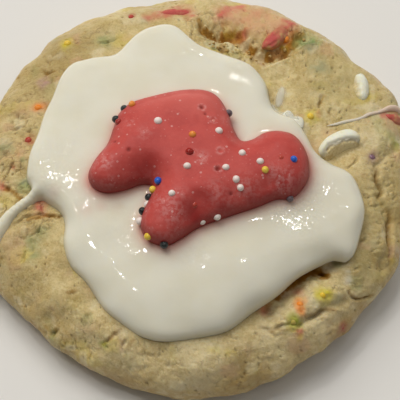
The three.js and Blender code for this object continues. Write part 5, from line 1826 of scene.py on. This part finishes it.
class COOKIE_OT_stage(CookieOperator, bpy.types.Operator):
    """Make the floor, the lights and the camera"""

    bl_idname = "cookie.stage"
    bl_label = "Stage"

    FRAME_PIXELS = 400  # width and height of the photograph's frame
    AIM = (0.0, 0.0, 6.3)  # mm, the point that the view turns about
    AIM_PIXEL = (192.5, 180.5)  # where that point lies in the frame
    ELEVATION = 62.0  # degrees above the table
    DISTANCE = 234.0  # mm from that point
    PIXELS_PER_MM = 5.578  # at that point
    SENSOR = 36.0
    FLOOR_HALF = 1.2  # metres, as the sizes and distances below
    LIGHT_DISTANCE = 0.9
    LIGHTS_AIM = (0, 0, 0.008)
    WARM_WHITE = (1.0, 0.97, 0.92)
    # Small lamps for the highlights: azimuth, elevation, size and power.
    LAMPS = [(-40, 58, 0.02, 0.4), (-36, 57, 0.012, 0.13), (-50, 68, 0.01, 0.05),
             (-69, 71.5, 0.016, 0.34), (-19, 74, 0.01, 0.03), (34, 71.5, 0.014, 0.24),
             (37, 60, 0.01, 0.05), (5, 44, 0.018, 0.26), (3, 55, 0.018, 0.22),
             (-74, 54, 0.014, 0.16)]

    def camera(self, context):
        """The camera behind the photograph: its lens from the scale at the aimed point, and its
        shift from the place of that point in the frame."""
        data = bpy.data.cameras.new("Camera")
        data.sensor_width = self.SENSOR
        data.lens = self.PIXELS_PER_MM * self.DISTANCE / self.FRAME_PIXELS * self.SENSOR
        data.shift_x = (self.FRAME_PIXELS / 2 - self.AIM_PIXEL[0]) / self.FRAME_PIXELS
        data.shift_y = (self.AIM_PIXEL[1] - self.FRAME_PIXELS / 2) / self.FRAME_PIXELS
        data.clip_start = 0.01
        camera = bpy.data.objects.new("Camera", data)
        context.scene.collection.objects.link(camera)
        rise = math.radians(self.ELEVATION)
        back = Vector((0, -math.cos(rise), math.sin(rise)))
        camera.location = (Vector(self.AIM) + back * self.DISTANCE) * MM
        camera.rotation_euler = (math.pi / 2 - rise, 0, 0)
        context.scene.camera = camera

    def light(self, context, name, azimuth, elevation, size, power, colour, mirrored):
        """A square area light aimed at the cookie, by its direction. Azimuth 0 is behind the
        cookie, and positive to the right. A light may be left out of the mirror reflections."""
        data = bpy.data.lights.new(name, "AREA")
        data.shape = "SQUARE"
        data.size = size
        data.energy = power
        data.color = colour
        lamp = bpy.data.objects.new(name, data)
        context.scene.collection.objects.link(lamp)
        turn, rise = math.radians(azimuth), math.radians(elevation)
        way = Vector((math.sin(turn) * math.cos(rise), math.cos(turn) * math.cos(rise),
                      math.sin(rise)))
        lamp.location = way * self.LIGHT_DISTANCE + Vector(self.LIGHTS_AIM)
        lamp.rotation_euler = way.to_track_quat("Z", "Y").to_euler()
        lamp.visible_glossy = mirrored

    def make(self, context, looks, sizes):
        """The floor, world, lights and camera."""
        half = self.FLOOR_HALF
        mesh = bpy.data.meshes.new("Floor")
        corners = [(-half, -half, 0), (half, -half, 0), (half, half, 0), (-half, half, 0)]
        mesh.from_pydata(corners, [], [(0, 1, 2, 3)])
        floor = bpy.data.objects.new("Floor", mesh)
        context.scene.collection.objects.link(floor)
        finish = Finish("Pale floor", looks, "floor", {"Roughness": 0.8})
        darker = tuple(value * 0.99 for value in looks["floor"])
        finish.cover(darker, finish.cloud(finish.place, 6.0, 2.0))
        mesh.materials.append(finish.done())
        world = bpy.data.worlds.new("Soft room")
        world.use_nodes = True
        background = world.node_tree.nodes["Background"].inputs
        background["Color"].default_value = (*self.WARM_WHITE, 1)
        background["Strength"].default_value = 0.16
        context.scene.world = world
        context.scene.view_settings.view_transform = "Standard"
        self.light(context, "Key", -34, 51, 0.7, 5.9, self.WARM_WHITE, False)
        self.light(context, "Fill", 75, 62, 0.9, 1.3, (1.0, 0.98, 0.95), False)
        for number, lamp in enumerate(self.LAMPS):
            self.light(context, f"Lamp {number}", *lamp, (1.0, 0.99, 0.97), True)
        self.camera(context)


class COOKIE_PT_panel(bpy.types.Panel):
    """The operators in the order in which they are run, and the settings."""

    bl_label = "Iced cookie"
    bl_idname = "COOKIE_PT_panel"
    bl_space_type = "VIEW_3D"
    bl_region_type = "UI"
    bl_category = "Cookie"

    def draw(self, context):
        """One button for each operator."""
        for operator in OPERATORS:
            self.layout.operator(operator.bl_idname)
        for settings in (context.scene.cookie_sizes, context.scene.cookie_colours):
            for name in setting_names(settings):
                self.layout.prop(settings, name)


OPERATORS = (
    COOKIE_OT_finishes, COOKIE_OT_stage, COOKIE_OT_dough, COOKIE_OT_icing,
    COOKIE_OT_icing_trails, COOKIE_OT_animal, COOKIE_OT_sprinkles, COOKIE_OT_chips,
    COOKIE_OT_crumbs,
)
CLASSES = (CookieSizes, CookieColours, *OPERATORS, COOKIE_PT_panel)


def register():
    """Registers the classes and the scene's settings."""
    for kind in CLASSES:
        bpy.utils.register_class(kind)
    bpy.types.Scene.cookie_sizes = bpy.props.PointerProperty(type=CookieSizes)
    bpy.types.Scene.cookie_colours = bpy.props.PointerProperty(type=CookieColours)


def unregister():
    """Removes the scene's settings and the classes."""
    del bpy.types.Scene.cookie_colours
    del bpy.types.Scene.cookie_sizes
    for kind in reversed(CLASSES):
        bpy.utils.unregister_class(kind)


def main():
    """Makes everything in order."""
    register()
    for operator in OPERATORS:
        getattr(bpy.ops.cookie, operator.bl_idname.split(".")[1])()
    bpy.context.view_layer.update()


if __name__ == "__main__":
    main()
